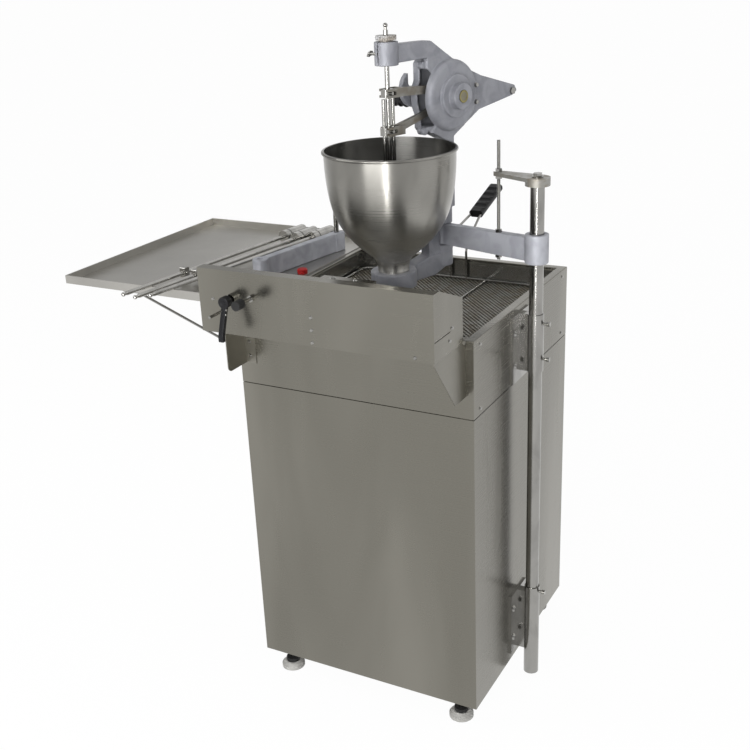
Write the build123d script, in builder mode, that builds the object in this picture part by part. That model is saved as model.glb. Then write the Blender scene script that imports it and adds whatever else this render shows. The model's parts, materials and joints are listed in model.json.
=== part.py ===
from build123d import *
import os
from math import cos, pi, radians, sin

# A floor-standing fryer with a hand-cranked batter depositor on a swing arm.
# The front faces -Y, the drain tray hangs out to -X and the post stands on the +X side.
# The origin is under the middle of the whole machine, on the floor.

# Sheet metal box
sheet = 1.5
cabinet_width = 560.0
cabinet_depth = 560.0
cabinet_height = 710.0
housing_height = 170.0
seam_gap = 2.0
seam_inset = 4.0
flange_width = 22.0
hem_width = 20.0
hem_height = 6.0
wall_screw_inset = 34.0
wall_screw_drop = 16.0
wall_screw_rise = 15.0

# Feet
foot_height = 55.0
foot_inset_x = 52.0
foot_inset_y = 34.0
pad_radius = 28.0
pad_edge = 8.0
pad_rise = 8.0
pad_neck_radius = 19.0
pad_pocket = 10.0
foot_ring_radius = 16.0
foot_ring_height = 9.0
stem_radius = 6.0
stem_rise = 26.0
stem_nut_flats = 19.0
stem_nut_height = 8.0

# Fits between pieces
slide_fit = 0.05
loose_fit = 0.3
rest_gap = 0.3

# Fasteners
screw_radius = 2.0
screw_head_radius = 4.2
screw_head_height = 2.2
screw_grip = 8.0
bolt_radius = 4.0
bolt_head_radius = 7.5
bolt_head_height = 4.5
bolt_grip = 12.0

# Fry tank and heating element
tank_gap = 1.0
tank_depth = 140.0
tank_flange = 16.0
rest_reach = 18.0
rest_length = 40.0
rest_thick = 3.0
rest_inset = 130.0
element_radius = 4.5
element_bend = 25.0
element_clear = 35.0
element_offset = 16.0
element_leg_spread = 52.0
element_leg_setback = 45.0
element_side_gap = 78.0
element_near = 110.0
element_turn_gap = 100.0
element_back_gap = 70.0
element_leg_rise = 25.0
cover_width = 120.0
cover_front = -100.0
cover_back = -12.0
cover_height = 102.0
cover_wall = 2.0
acorn_flats = 13.0
acorn_hex_height = 5.0
acorn_dome_radius = 5.8
acorn_setback = 26.0

# Fry screen
screen_drop = 49.6
screen_side_gap = 5.5
screen_front = 62.0
screen_back_gap = 3.5
wire_radius = 3.0
wire_corner = 22.0
cross_wire_spread = 170.0
mesh_thick = 1.2
mesh_cells_x = 12
mesh_cells_y = 11
mesh_strand = 3.0
handle_mid = 293.0
handle_spread = 40.0
handle_grip_spread = 26.0
handle_rise = 25.0
handle_lean_run = 54.0
handle_lean_rise = 70.0
grip_start = 80.0
grip_start_rise = 88.0
grip_reach = 215.0
grip_slope = 16.9
grip_width = 36.0
grip_thick = 19.0
grip_round = 8.0
grip_socket = 18.0
groove_radius = 17.0
groove_depth = 3.5
groove_count = 4

# Front guard with its lever and stops
guard_sheet = 2.0
guard_reach = 145.0
guard_inset = 16.0
guard_bottom = 2.0
guard_top = 137.0
guard_flange = 25.0
guard_floor_back = 2.0
guard_end_setback = 14.0
guard_end_back_top = 94.0
guard_slot_height = 43.0
guard_slot_width = 2.0
guard_slot_end = 72.0
gusset_bottom = -120.0
gusset_foot = 50.0
gusset_front_low = -2.0
gusset_front_high = 32.0
gusset_top = 60.0
gusset_top_front = 40.0
gusset_top_back = 15.0
gusset_shoulder = -12.0
gusset_flange = 26.0
bracket_bottom = -120.0
bracket_leaf = 70.0
bracket_top = 25.0
bracket_flange = 28.0
bracket_flange_top = -54.0
bracket_corner = 12.0
bracket_screw_x = 27.0
bracket_screw_upper = -70.0
bracket_screw_lower = -102.0
rivet_radius = 2.0
rivet_head_radius = 4.0
rivet_head_height = 2.0
rivet_left_inset = 33.5
rivet_left_height = 74.0
rivet_right_inset = 40.0
rivet_right_height = 9.5
rivet_column_x = 280.0
rivet_column_pitch = 26.0
lever_x = 100.0
lever_height = 81.0
lever_length = 77.0
lever_width = 11.0
lever_thick = 9.0
lever_hub_radius = 12.0
lever_hub_start = 20.0
lever_hub_length = 16.0
lever_lean = 22.0
lever_bush_radius = 8.0
lever_bush_flange = 11.0
lever_bush_stand = 12.0
lever_shaft_radius = 5.0
latch_tongue_length = 34.0
latch_tongue_width = 12.0
latch_tongue_thick = 4.0
latch_tongue_gap = 3.0
bumper_x = 145.0
bumper_height = 86.0
bumper_stem_radius = 3.5
bumper_stem_length = 37.0
bumper_radius = 10.0
bumper_reach = 57.0
stop_pin_x = 59.0
stop_pin_height = 44.0
stop_pin_radius = 3.0
stop_pin_reach = 30.0

# Drain tray and what lies on it
tray_reach = 507.0
tray_front = 18.0
tray_back = 59.0
tray_sheet = 1.5
tray_rim_height = 20.0
tray_rim_thick = 3.0
tray_lip = 8.0
brace_radius = 3.0
brace_inset = 30.0
brace_drop = 112.0
brace_top_run = 296.0
brace_top_leg = 44.0
brace_bend = 15.0
brace_plate_thick = 3.0
brace_plate_width = 30.0
brace_plate_height = 40.0
brace_screw_spread = 26.0
knob_radius = 12.5
knob_height = 11.0
knob_stud_radius = 2.5
knob_stud_depth = 7.0
knob_nut_flats = 8.0
knob_nut_height = 4.0
knob_x = -8.0
knob_y = 289.0
spare_rod_radius = 5.0
spare_length = 628.0
spare_piston_radius = 16.0
spare_piston_length = 85.0
spare_groove_depth = 2.0
spare_groove_width = 4.0
spare_groove_inset = 22.0
spare_window_length = 16.0
spare_window_width = 10.0
spare_tip_radius = 5.0
spare_neck_radius = 3.2
spare_neck_length = 7.0
spare_crosshead_inset = 205.0
spare_crosshead_thick = 16.0
spare_crosshead_height = 27.0
spare_pin_reach = 4.0
spare_places = {
    "a": (-196.0, 551.0, -255.0),
    "b": (-156.0, 544.0, -216.0),
    "c": (-118.0, 566.0, -193.0),
}
extension_near = (-77.0, 217.0)
extension_far = (-30.0, 497.0)
extension_height = 48.0
extension_width = 20.0
extension_boss_radius = 19.0
extension_bore = 7.0
extension_block_length = 34.0
extension_block_width = 26.0
extension_pin_radius = 6.5
extension_pin_rise = 120.0
extension_pin_depth = 24.0

# Post, its brackets and the swing arm
post_standoff = 37.0
post_setback = 249.0
post_radius = 15.0
post_wall = 3.0
post_foot_gap = 9.0
post_plug = 34.0
sleeve_wall = 2.5
upper_plate_bottom = -168.0
upper_plate_height = 154.0
upper_sleeve_bottom = -145.0
upper_sleeve_height = 130.0
lower_plate_bottom = 74.0
lower_plate_height = 158.0
lower_sleeve_bottom = 9.0
lower_sleeve_height = 238.0
plate_width = 94.0
plate_thick = 4.0
web_thick = 20.0
plate_bolt_inset_y = 14.0
plate_bolt_inset_z = 40.0
set_screw_radius = 3.0
set_screw_head_radius = 5.0
set_screw_reach = 15.0
set_screw_head = 8.0
upper_set_screws = (-36.0, -116.0)
lower_set_screw = 235.0
hanger_boss_radius = 26.0
hanger_boss_bottom = 260.0
hanger_boss_height = 17.0
hanger_web = 6.0
hanger_bar_height = 8.0
hanger_bar_width = 22.0
hanger_tip = 14.0
hanger_bolt_radius = 5.0
hanger_bolt_flats = 17.0
hanger_bolt_head = 6.5
hanger_washer_radius = 12.0
hanger_washer_thick = 2.0
rod_offset = 101.0
rod_radius = 4.0
rod_bottom = 86.0
rod_top = 345.0
rod_nut_flats = 13.0
rod_nut_height = 6.5
arm_heading = 163.4
arm_length = 263.0
arm_bottom = 99.0
arm_root_top = 150.0
arm_end_top = 145.0
arm_thick = 22.0
arm_end_radius = 18.0
arm_spot_face = 9.0
arm_nut_seat = 147.0
collar_radius = 25.0
collar_bottom = 97.0
collar_top = 159.0
pivot_pin_radius = 7.0
pivot_pin_head_radius = 9.5
pivot_pin_head_height = 5.0

# Depositor head: heights over the deck, lengths along the head from the hopper's axis
head_heading = 71.2
pivot_reach = 152.0
ring_top = 70.0
ring_radius = 50.0
lower_arm_bottom = 35.0
lower_arm_width = 34.0
lug_radius = 24.0
lug_bottom = 50.0
lug_gap = 0.4
lug_top = 190.0
lug_room = 2.0
throat_start = 98.0
throat_width = 26.0
column_width = 34.0
column_front = 163.0
column_back = 179.0
case_s = 170.0
case_height = 422.0
case_radius = 75.0
case_wall = 6.0
case_round = 12.0
case_depth = 30.0
case_left = 104.0
case_left_rise = 80.0
case_left_drop = 74.0
case_corner = 9.0
slot_rise = 60.0
slot_drop = 59.0
slot_width = 24.0
boss_steps = ((45.0, 38.0), (28.0, 55.0))
tail_half = 16.0
tail_hollow_half = 11.0
tail_s = 372.0
tail_drop = 14.0
top_arm_width = 28.0
clamp_radius = 24.5
clamp_rise = 78.0
clamp_height = 47.0
clamp_slit = 4.0
clamp_screw_s = -19.25
cover_lug_radius = 8.0
cover_lug_thick = 10.0
cover_lug_reach = 5.0
bush_radius = 13.0
bush_length = 26.0
tail_screw_s = 236.0
tail_screw_spread = 36.0
tail_screw_head_radius = 5.5
tail_bolt_radius = 5.0
tail_bolt_flats = 14.0
tail_bolt_head = 5.0

# Hopper and what is inside it
hopper_wall = 1.5
hopper_bead_radius = 3.0
hopper_outline = ((139.0, 320.0), (135.5, 260.0), (124.0, 203.0), (97.0, 153.0), (52.0, 109.0))
hopper_rim_height = 333.0
hopper_neck_radius = 34.0
hopper_neck_top = 76.0
cylinder_radius = 28.0
cylinder_bore = 22.05
cylinder_bottom = 20.0
cutter_radius = 21.95
cutter_bore = 17.05
cutter_height = 66.0
spider_thick = 6.0
cutter_rod_radius = 4.0
cutter_rod_offset = 13.0
cutter_rod_rise = 12.0
spider_window_radius = 5.0
plunger_rod_radius = 5.0
piston_radius = 17.0
piston_bottom = 22.0
piston_height = 20.0
plunger_rise = 36.0
tip_radius = 4.9
tip_neck_radius = 3.2
tip_neck_length = 4.0
crosshead_thick = 16.0
crosshead_depth = 18.0
plunger_crosshead_length = 27.0
cutter_crosshead_length = 38.0
crosshead_pin_radius = 3.0
crosshead_pin_reach = 6.0
rod_pass = 0.4
upper_link_rise = 23.0
lower_link_drop = 54.0
portion_neck_radius = 14.0
portion_nut_radius = 21.5
portion_nut_height = 9.0
portion_nut_gap = 3.0
knurl_count = 36
knurl_radius = 1.2
wing_radius = 3.0
wing_length = 15.0
wing_height = 6.0
wing_thick = 4.0
wing_stand = 0.5
wing_reach = 6.0

# Crank, cams and links
crank_sweep = 170.0
cam_low = 13.0
plunger_cam_rise = 10.9
cutter_cam_rise = 7.6
cam_gap = 1.0
cam_steps = 12
shaft_radius = 9.0
link_inset = 1.0
link_thick = 8.0
link_eye_radius = 9.0
fork_prong = 5.0
fork_gap = 0.5
fork_reach = 10.0
fork_slot_end = 12.0
fork_root_start = 24.0
fork_root_length = 10.0
fork_height = 18.0
fork_slot_height = 8.0
crank_arm_thick = 12.0
crank_arm_gap = 4.0
crank_hub_radius = 30.0
crank_end_radius = 40.0
crank_end_offset = (-55.0, 18.0)
crank_horn_side = 21.0
crank_horn_base = 5.0
crank_horn_round = 10.0
grip_offset = (-62.0, -12.0)
crank_grip_radius = 11.0
crank_grip_length = 50.0
crank_grip_lobes = 3
crank_spindle_radius = 4.0

# Back of the machine
door_margin = 60.0
door_bottom = 60.0
door_top = 650.0
door_overlap = 12.0
door_depth = 14.0
door_gap = 1.5
hinge_pin_radius = 4.0
hinge_block = 16.0
hinge_block_height = 24.0
door_handle_length = 140.0
door_handle_radius = 6.0
door_handle_stand = 32.0
door_handle_inset = 46.0
thermostat_x = 120.0
thermostat_drop = 85.0
thermostat_radius = 20.0
thermostat_height = 22.0
thermostat_shaft_radius = 3.0
thermostat_shaft_length = 12.0
gland_x = 440.0
gland_drop = 85.0
gland_radius = 11.0
gland_flats = 27.0
gland_length = 24.0
gland_bore = 5.0

# Placing: the whole machine is centred over the origin
right_reach = post_standoff + post_radius + sleeve_wall + set_screw_reach
front_reach = guard_reach + bumper_reach
left_x = (tray_reach - cabinet_width - right_reach) / 2
front_y = (front_reach - cabinet_depth - grip_reach) / 2
base_z = foot_height
seam_z = base_z + cabinet_height
deck_z = seam_z + housing_height

# Heights on the depositor head, over the deck
case_left_top = case_height + case_left_rise
case_left_bottom = case_height - case_left_drop
slot_top = case_height + slot_rise
slot_bottom = case_height - slot_drop
tail_height = case_height - tail_drop
clamp_bottom = case_height + clamp_rise
clamp_top = clamp_bottom + clamp_height
cutter_rod_top = case_height + cutter_rod_rise
plunger_top = clamp_top + plunger_rise
upper_link_height = case_height + upper_link_rise
lower_link_height = case_height - lower_link_drop

# Directions
FRONT = (0, -1, 0)
BACK = (0, 1, 0)
LEFT = (-1, 0, 0)
RIGHT = (1, 0, 0)
UP = (0, 0, 1)
DOWN = (0, 0, -1)
FROM_BASE = (Align.CENTER, Align.CENTER, Align.MIN)
FROM_TOP = (Align.CENTER, Align.CENTER, Align.MAX)
OVER = 1.0

# Frames of the swing arm and of the depositor head, at deck level
arm_dir = Vector(cos(radians(arm_heading)), sin(radians(arm_heading)), 0)
head_dir = Vector(cos(radians(head_heading)), sin(radians(head_heading)), 0)
post_place = Vector(left_x + cabinet_width + post_standoff, front_y + post_setback, deck_z)
pivot_place = post_place + arm_dir * arm_length
hopper_place = pivot_place - head_dir * pivot_reach
ARM_SIDE = Plane(origin=post_place, x_dir=arm_dir, z_dir=arm_dir.cross(Vector(0, 0, 1)))
HEAD_SIDE = Plane(origin=hopper_place, x_dir=head_dir, z_dir=head_dir.cross(Vector(0, 0, 1)))
HEAD_TOP = Plane(origin=hopper_place, x_dir=head_dir, z_dir=UP)
near_dir = HEAD_SIDE.z_dir


# Helpers: distances run from the cabinet's left wall, its front wall and the floor
def spot(x, y, z, normal):
    """A plane at a place on the cabinet, facing the given way."""
    return Plane(origin=(left_x + x, front_y + y, z), z_dir=normal)


def head_spot(s, t, height, normal):
    """A plane on the depositor head: s along it, t towards its near side, height over the deck."""
    origin = hopper_place + head_dir * s + near_dir * t + Vector(0, 0, height)
    return Plane(origin=origin, z_dir=normal)


def slab(x0, x1, y0, y1, z0, z1, mode=Mode.ADD):
    """A box between two corners."""
    with Locations((left_x + (x0 + x1) / 2, front_y + (y0 + y1) / 2, (z0 + z1) / 2)):
        Box(x1 - x0, y1 - y0, z1 - z0, mode=mode)


def peg(place, radius, length, mode=Mode.ADD):
    """A cylinder standing on a plane."""
    with Locations(place):
        Cylinder(radius, length, align=FROM_BASE, mode=mode)


def bore(place, radius, depth):
    """A hole sunk from a plane."""
    with Locations(place.offset(OVER)):
        Cylinder(radius, depth + OVER, align=FROM_TOP, mode=Mode.SUBTRACT)


def fastener(place, head_radius, head_height, shank_radius, grip):
    """A round-headed screw: its head stands on the plane and its shank goes below it."""
    with Locations(place):
        Cone(head_radius, head_radius * 0.7, head_height, align=FROM_BASE)
        Cylinder(shank_radius, grip, align=FROM_TOP)


def hexagon(place, flats, height, hole=0.0):
    """A hexagonal block standing on a plane, with a hole where it is a nut."""
    with BuildSketch(place) as outline:
        RegularPolygon(flats / 2, 6, major_radius=False)
        if hole:
            Circle(hole, mode=Mode.SUBTRACT)
    extrude(outline.sketch, amount=height)


def plate(plane, points, thick, mode=Mode.ADD):
    """A flat plate with straight edges, standing on a plane."""
    with BuildSketch(plane) as outline:
        with BuildLine():
            Polyline(*points, close=True)
        make_face()
    extrude(outline.sketch, amount=thick, mode=mode)


def ribbon(points, width):
    """The corners of a strip of one width along a run of points, with mitred bends."""
    runs = [(Vector(*q) - Vector(*p)).normalized() for p, q in zip(points, points[1:])]
    sides = [Vector(-run.Y, run.X) for run in runs]
    shifts = [sides[0]]
    for before, after in zip(sides, sides[1:]):
        bisector = (before + after).normalized()
        shifts.append(bisector / bisector.dot(before))
    shifts.append(sides[-1])
    upper = [Vector(*p) + shift * (width / 2) for p, shift in zip(points, shifts)]
    lower = [Vector(*p) - shift * (width / 2) for p, shift in zip(points, shifts)]
    return [(v.X, v.Y) for v in upper + lower[::-1]]


def finish(part, name):
    """Label a finished piece and write it out."""
    part.label = name
    export_step(part, "parts/" + name + ".step")


os.makedirs("parts", exist_ok=True)

# Places that several pieces share
foot_places = []
for x in (foot_inset_x, cabinet_width - foot_inset_x):
    for y in (foot_inset_y, cabinet_depth - foot_inset_y):
        foot_places.append((x, y))
wall_screw_places = []
for y in (wall_screw_inset, cabinet_depth - wall_screw_inset):
    for z in (deck_z - wall_screw_drop, seam_z + wall_screw_rise):
        wall_screw_places.append(spot(cabinet_width, y, z, RIGHT))
        wall_screw_places.append(spot(0, y, z, LEFT))
brace_rows = (brace_inset, cabinet_depth - brace_inset)
brace_screw_places = []
for y in brace_rows:
    for side in (-1, 1):
        z = deck_z - brace_drop + side * brace_screw_spread / 2
        brace_screw_places.append(spot(-brace_plate_thick, y, z, LEFT))
upper_plate_z = deck_z + upper_plate_bottom
upper_bolt_places = []
lower_bolt_places = []
for side in (-1, 1):
    y = post_setback + side * (plate_width / 2 - plate_bolt_inset_y)
    x = cabinet_width + plate_thick
    for inset in (plate_bolt_inset_z, upper_plate_height - plate_bolt_inset_z):
        upper_bolt_places.append(spot(x, y, upper_plate_z + inset, RIGHT))
    for inset in (plate_bolt_inset_z, lower_plate_height - plate_bolt_inset_z):
        lower_bolt_places.append(spot(x, y, lower_plate_bottom + inset, RIGHT))

# Lower cabinet: a folded box with a door opening in its back
with BuildPart() as lower_cabinet:
    slab(0, cabinet_width, 0, cabinet_depth, base_z, seam_z)
    slab(sheet, cabinet_width - sheet, sheet, cabinet_depth - sheet,
         base_z + sheet, seam_z - sheet, Mode.SUBTRACT)
    slab(flange_width, cabinet_width - flange_width, flange_width, cabinet_depth - flange_width,
         seam_z - 2 * sheet, seam_z + OVER, Mode.SUBTRACT)
    slab(door_margin, cabinet_width - door_margin, cabinet_depth - 2 * sheet, cabinet_depth + OVER,
         base_z + door_bottom, base_z + door_top, Mode.SUBTRACT)
    for x, y in foot_places:
        bore(spot(x, y, base_z + sheet, UP), stem_radius + loose_fit, 2 * sheet)
    for place in lower_bolt_places:
        bore(place, bolt_radius + slide_fit, plate_thick + 2 * sheet)
finish(lower_cabinet.part, "lower_cabinet")

# Feet: pads, rubber rings and threaded stems with two nuts each
pad_height = pad_edge + pad_rise
with BuildPart() as foot_pads:
    for x, y in foot_places:
        with Locations(spot(x, y, 0, UP)):
            Cylinder(pad_radius, pad_edge, align=FROM_BASE)
        with Locations(spot(x, y, pad_edge, UP)):
            Cone(pad_radius, pad_neck_radius, pad_rise, align=FROM_BASE)
        bore(spot(x, y, pad_height, UP), stem_radius + slide_fit, pad_pocket)
finish(foot_pads.part, "foot_pads")

with BuildPart() as foot_rings:
    for x, y in foot_places:
        peg(spot(x, y, pad_height, UP), foot_ring_radius, foot_ring_height)
        bore(spot(x, y, pad_height + foot_ring_height, UP), stem_radius + slide_fit,
             foot_ring_height + OVER)
finish(foot_rings.part, "foot_rings")

with BuildPart() as foot_stems:
    stem_bottom = pad_height - pad_pocket
    for x, y in foot_places:
        peg(spot(x, y, stem_bottom, UP), stem_radius, base_z + stem_rise - stem_bottom)
        hexagon(spot(x, y, base_z - stem_nut_height, UP), stem_nut_flats, stem_nut_height)
        hexagon(spot(x, y, base_z + sheet, UP), stem_nut_flats, stem_nut_height)
finish(foot_stems.part, "foot_stems")

# Upper housing: a ring of walls with a hemmed rim, set over a narrow shadow gap
with BuildPart() as upper_housing:
    slab(0, cabinet_width, 0, cabinet_depth, seam_z + seam_gap, deck_z)
    slab(seam_inset, cabinet_width - seam_inset, seam_inset, cabinet_depth - seam_inset,
         seam_z, seam_z + seam_gap + sheet)
    slab(sheet, cabinet_width - sheet, sheet, cabinet_depth - sheet,
         seam_z + seam_gap + sheet, deck_z - hem_height, Mode.SUBTRACT)
    slab(flange_width, cabinet_width - flange_width, flange_width, cabinet_depth - flange_width,
         seam_z - OVER, seam_z + seam_gap + 2 * sheet, Mode.SUBTRACT)
    slab(hem_width, cabinet_width - hem_width, hem_width, cabinet_depth - hem_width,
         deck_z - 2 * hem_height, deck_z + OVER, Mode.SUBTRACT)
    rim_edges = upper_housing.edges().group_by(Axis.Z)[-1]
    fillet(rim_edges, hem_height / 3)
    for place in wall_screw_places:
        bore(place, screw_radius + slide_fit, 2 * sheet)
    for place in upper_bolt_places:
        bore(place, bolt_radius + slide_fit, plate_thick + 2 * sheet)
    for place in brace_screw_places:
        bore(place, screw_radius + slide_fit, brace_plate_thick + 2 * sheet)
    bore(spot(thermostat_x, cabinet_depth, deck_z - thermostat_drop, BACK),
         thermostat_shaft_radius + slide_fit, 2 * sheet)
    bore(spot(gland_x, cabinet_depth, deck_z - gland_drop, BACK), gland_radius + slide_fit, 2 * sheet)
finish(upper_housing.part, "upper_housing")

with BuildPart() as wall_fasteners:
    for place in wall_screw_places + brace_screw_places:
        fastener(place, screw_head_radius, screw_head_height, screw_radius, screw_grip)
    for place in upper_bolt_places + lower_bolt_places:
        fastener(place, bolt_head_radius, bolt_head_height, bolt_radius, bolt_grip)
finish(wall_fasteners.part, "wall_fasteners")

# Fry tank: hangs under the hem by its flange and carries four rests for the screen
tank_side = hem_width + tank_gap
tank_top = deck_z - hem_height
tank_floor = tank_top - tank_depth
screen_z = deck_z - screen_drop
with BuildPart() as fry_tank:
    slab(tank_side, cabinet_width - tank_side, tank_side, cabinet_depth - tank_side, tank_floor, tank_top)
    slab(tank_side - tank_flange, cabinet_width - tank_side + tank_flange,
         tank_side - tank_flange, cabinet_depth - tank_side + tank_flange, tank_top - sheet, tank_top)
    slab(tank_side + sheet, cabinet_width - tank_side - sheet, tank_side + sheet,
         cabinet_depth - tank_side - sheet, tank_floor + sheet, tank_top + OVER, Mode.SUBTRACT)
    for y in (rest_inset, cabinet_depth - rest_inset):
        rest_z = screen_z - mesh_thick - rest_gap
        slab(tank_side, tank_side + sheet + rest_reach, y - rest_length / 2, y + rest_length / 2,
             rest_z - rest_thick, rest_z)
        slab(cabinet_width - tank_side - sheet - rest_reach, cabinet_width - tank_side,
             y - rest_length / 2, y + rest_length / 2, rest_z - rest_thick, rest_z)
finish(fry_tank.part, "fry_tank")

# Heating element: one bent tube with two legs that rise over the front rim
element_z = tank_floor + element_clear
leg_z = deck_z + element_leg_rise
half_width = cabinet_width / 2
half_leg = element_leg_spread / 2
element_mid = half_width + element_offset
element_pass = (half_width - element_offset - half_leg - element_side_gap) / 2
element_far = cabinet_depth - element_turn_gap
element_back = cabinet_depth - element_back_gap
half_path = [
    (half_leg, cover_back - 2 * element_radius, leg_z),
    (half_leg, element_leg_setback, leg_z),
    (half_leg, element_leg_setback, element_z),
    (half_leg, element_far, element_z),
    (half_leg + element_pass, element_far, element_z),
    (half_leg + element_pass, element_near, element_z),
    (half_leg + 2 * element_pass, element_near, element_z),
    (half_leg + 2 * element_pass, element_back, element_z),
]
element_path = []
for x, y, z in half_path:
    element_path.append((left_x + element_mid - x, front_y + y, z))
for x, y, z in reversed(half_path):
    element_path.append((left_x + element_mid + x, front_y + y, z))
with BuildPart() as heating_element:
    with BuildLine() as element_line:
        FilletPolyline(*element_path, radius=element_bend)
    with BuildSketch(Plane(origin=element_path[0], z_dir=BACK)):
        Circle(element_radius)
    sweep(path=element_line.wire())
finish(heating_element.part, "heating_element")

# Element cover: a box in the trough that hides the element's ends
guard_floor_z = deck_z + guard_bottom + guard_sheet
guard_back = -guard_reach + guard_sheet
cover_left = element_mid - cover_width / 2
cover_right = element_mid + cover_width / 2
cover_top = guard_floor_z + cover_height
rivet_heights = [rivet_right_height + step * rivet_column_pitch for step in range(3)]
acorn_places = []
for side in (-1, 1):
    acorn_places.append(spot(element_mid + side * half_leg, cover_back - acorn_setback, cover_top, UP))
with BuildPart() as element_cover:
    slab(cover_left, cover_right, cover_front, cover_back, guard_floor_z, cover_top)
    slab(cover_left + cover_wall, cover_right - cover_wall, cover_front + cover_wall, cover_back - cover_wall,
         guard_floor_z - OVER, cover_top - cover_wall, Mode.SUBTRACT)
    for side in (-1, 1):
        bore(spot(element_mid + side * half_leg, cover_back, leg_z, BACK), element_radius + slide_fit,
             2 * cover_wall)
    for place in acorn_places:
        bore(place, screw_radius + slide_fit, 2 * cover_wall)
finish(element_cover.part, "element_cover")

# Front guard: a folded trough in front of the rim
guard_left = guard_inset
guard_right = cabinet_width - guard_inset
guard_low = deck_z + guard_bottom
guard_high = deck_z + guard_top
end_outline = [
    (-guard_reach, guard_low),
    (-guard_reach, guard_high),
    (-guard_reach + guard_flange, guard_high),
    (-guard_end_setback, deck_z + guard_end_back_top),
    (-guard_end_setback, guard_low),
]
end_points = [(front_y + y, z) for y, z in end_outline]
gusset_left = guard_right - 2 * guard_sheet
gusset_bolts = ((-64.0, 48.0), (-75.0, 25.0))
leaf_bolt = (-40.0, 14.0)
with BuildPart() as front_guard:
    slab(guard_left, guard_right, -guard_reach, guard_back, guard_low, guard_high)
    slab(guard_left, guard_right, -guard_reach, -guard_reach + guard_flange,
         guard_high - guard_sheet, guard_high)
    slab(guard_left, gusset_left - rest_gap, -guard_reach, -guard_floor_back, guard_low, guard_floor_z)
    plate(Plane.YZ.offset(left_x + guard_left), end_points, guard_sheet)
    plate(Plane.YZ.offset(left_x + guard_right - guard_sheet), end_points, guard_sheet)
    slot_z = deck_z + guard_slot_height
    slab(guard_right - guard_sheet, guard_right + OVER, guard_back, -guard_slot_end,
         slot_z - guard_slot_width / 2, slot_z + guard_slot_width / 2, Mode.SUBTRACT)
    bore(spot(lever_x, -guard_reach, deck_z + lever_height, FRONT), lever_bush_radius + slide_fit,
         2 * guard_sheet)
    bore(spot(bumper_x, -guard_reach, deck_z + bumper_height, FRONT), bumper_stem_radius + slide_fit,
         2 * guard_sheet)
    bore(spot(stop_pin_x, -guard_reach, deck_z + stop_pin_height, FRONT), stop_pin_radius + slide_fit,
         2 * guard_sheet)
    bore(spot(guard_left + rivet_left_inset, -guard_reach, deck_z + rivet_left_height, FRONT),
         rivet_radius + slide_fit, 2 * guard_sheet)
    bore(spot(guard_right - rivet_right_inset, -guard_reach, deck_z + rivet_right_height, FRONT),
         rivet_radius + slide_fit, 2 * guard_sheet)
    for height in rivet_heights:
        bore(spot(rivet_column_x, -guard_reach, deck_z + height, FRONT), rivet_radius + slide_fit,
             2 * guard_sheet)
    for y, height in gusset_bolts:
        bore(spot(guard_right, y, deck_z + height, RIGHT), screw_radius + slide_fit, 2 * guard_sheet)
    y, height = leaf_bolt
    bore(spot(guard_left, y, deck_z + height, LEFT), screw_radius + slide_fit, 2 * guard_sheet)
finish(front_guard.part, "front_guard")

# Gusset under the guard's right end, with a flange on the housing's front
gusset_outline = [
    (0, gusset_bottom),
    (-gusset_foot, gusset_bottom),
    (guard_back, gusset_front_low),
    (guard_back, gusset_front_high),
    (-gusset_top_front, gusset_top),
    (-gusset_top_back, gusset_top),
    (-gusset_top_back, 0),
    (0, gusset_shoulder),
]
gusset_screws = (gusset_bottom + 20.0, gusset_shoulder - 20.0)
with BuildPart() as guard_gusset:
    gusset_points = [(front_y + y, deck_z + height) for y, height in gusset_outline]
    plate(Plane.YZ.offset(left_x + gusset_left), gusset_points, guard_sheet)
    slab(gusset_left - gusset_flange, gusset_left + guard_sheet, -guard_sheet, 0,
         deck_z + gusset_bottom, deck_z + gusset_shoulder)
    for y, height in gusset_bolts:
        bore(spot(gusset_left + guard_sheet, y, deck_z + height, RIGHT), screw_radius + slide_fit,
             2 * guard_sheet)
    for height in gusset_screws:
        bore(spot(gusset_left - gusset_flange / 2, -guard_sheet, deck_z + height, FRONT),
             screw_radius + slide_fit, 2 * guard_sheet)
finish(guard_gusset.part, "guard_gusset")

# Bracket under the guard's left end
bracket_left = guard_left - guard_sheet
with BuildPart() as guard_bracket:
    slab(bracket_left, guard_left, -bracket_leaf, 0, deck_z + bracket_bottom, deck_z + bracket_top)
    corner = guard_bracket.edges().filter_by(Axis.X).sort_by(Axis.Z)[:2].sort_by(Axis.Y)[0]
    fillet(corner, bracket_corner)
    slab(bracket_left, bracket_left + bracket_flange, -guard_sheet, 0,
         deck_z + bracket_bottom, deck_z + bracket_flange_top)
    for height in (bracket_screw_upper, bracket_screw_lower):
        bore(spot(bracket_screw_x, -guard_sheet, deck_z + height, FRONT), screw_radius + slide_fit,
             2 * guard_sheet)
    y, height = leaf_bolt
    bore(spot(bracket_left, y, deck_z + height, LEFT), screw_radius + slide_fit, 2 * guard_sheet)
finish(guard_bracket.part, "guard_bracket")

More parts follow.
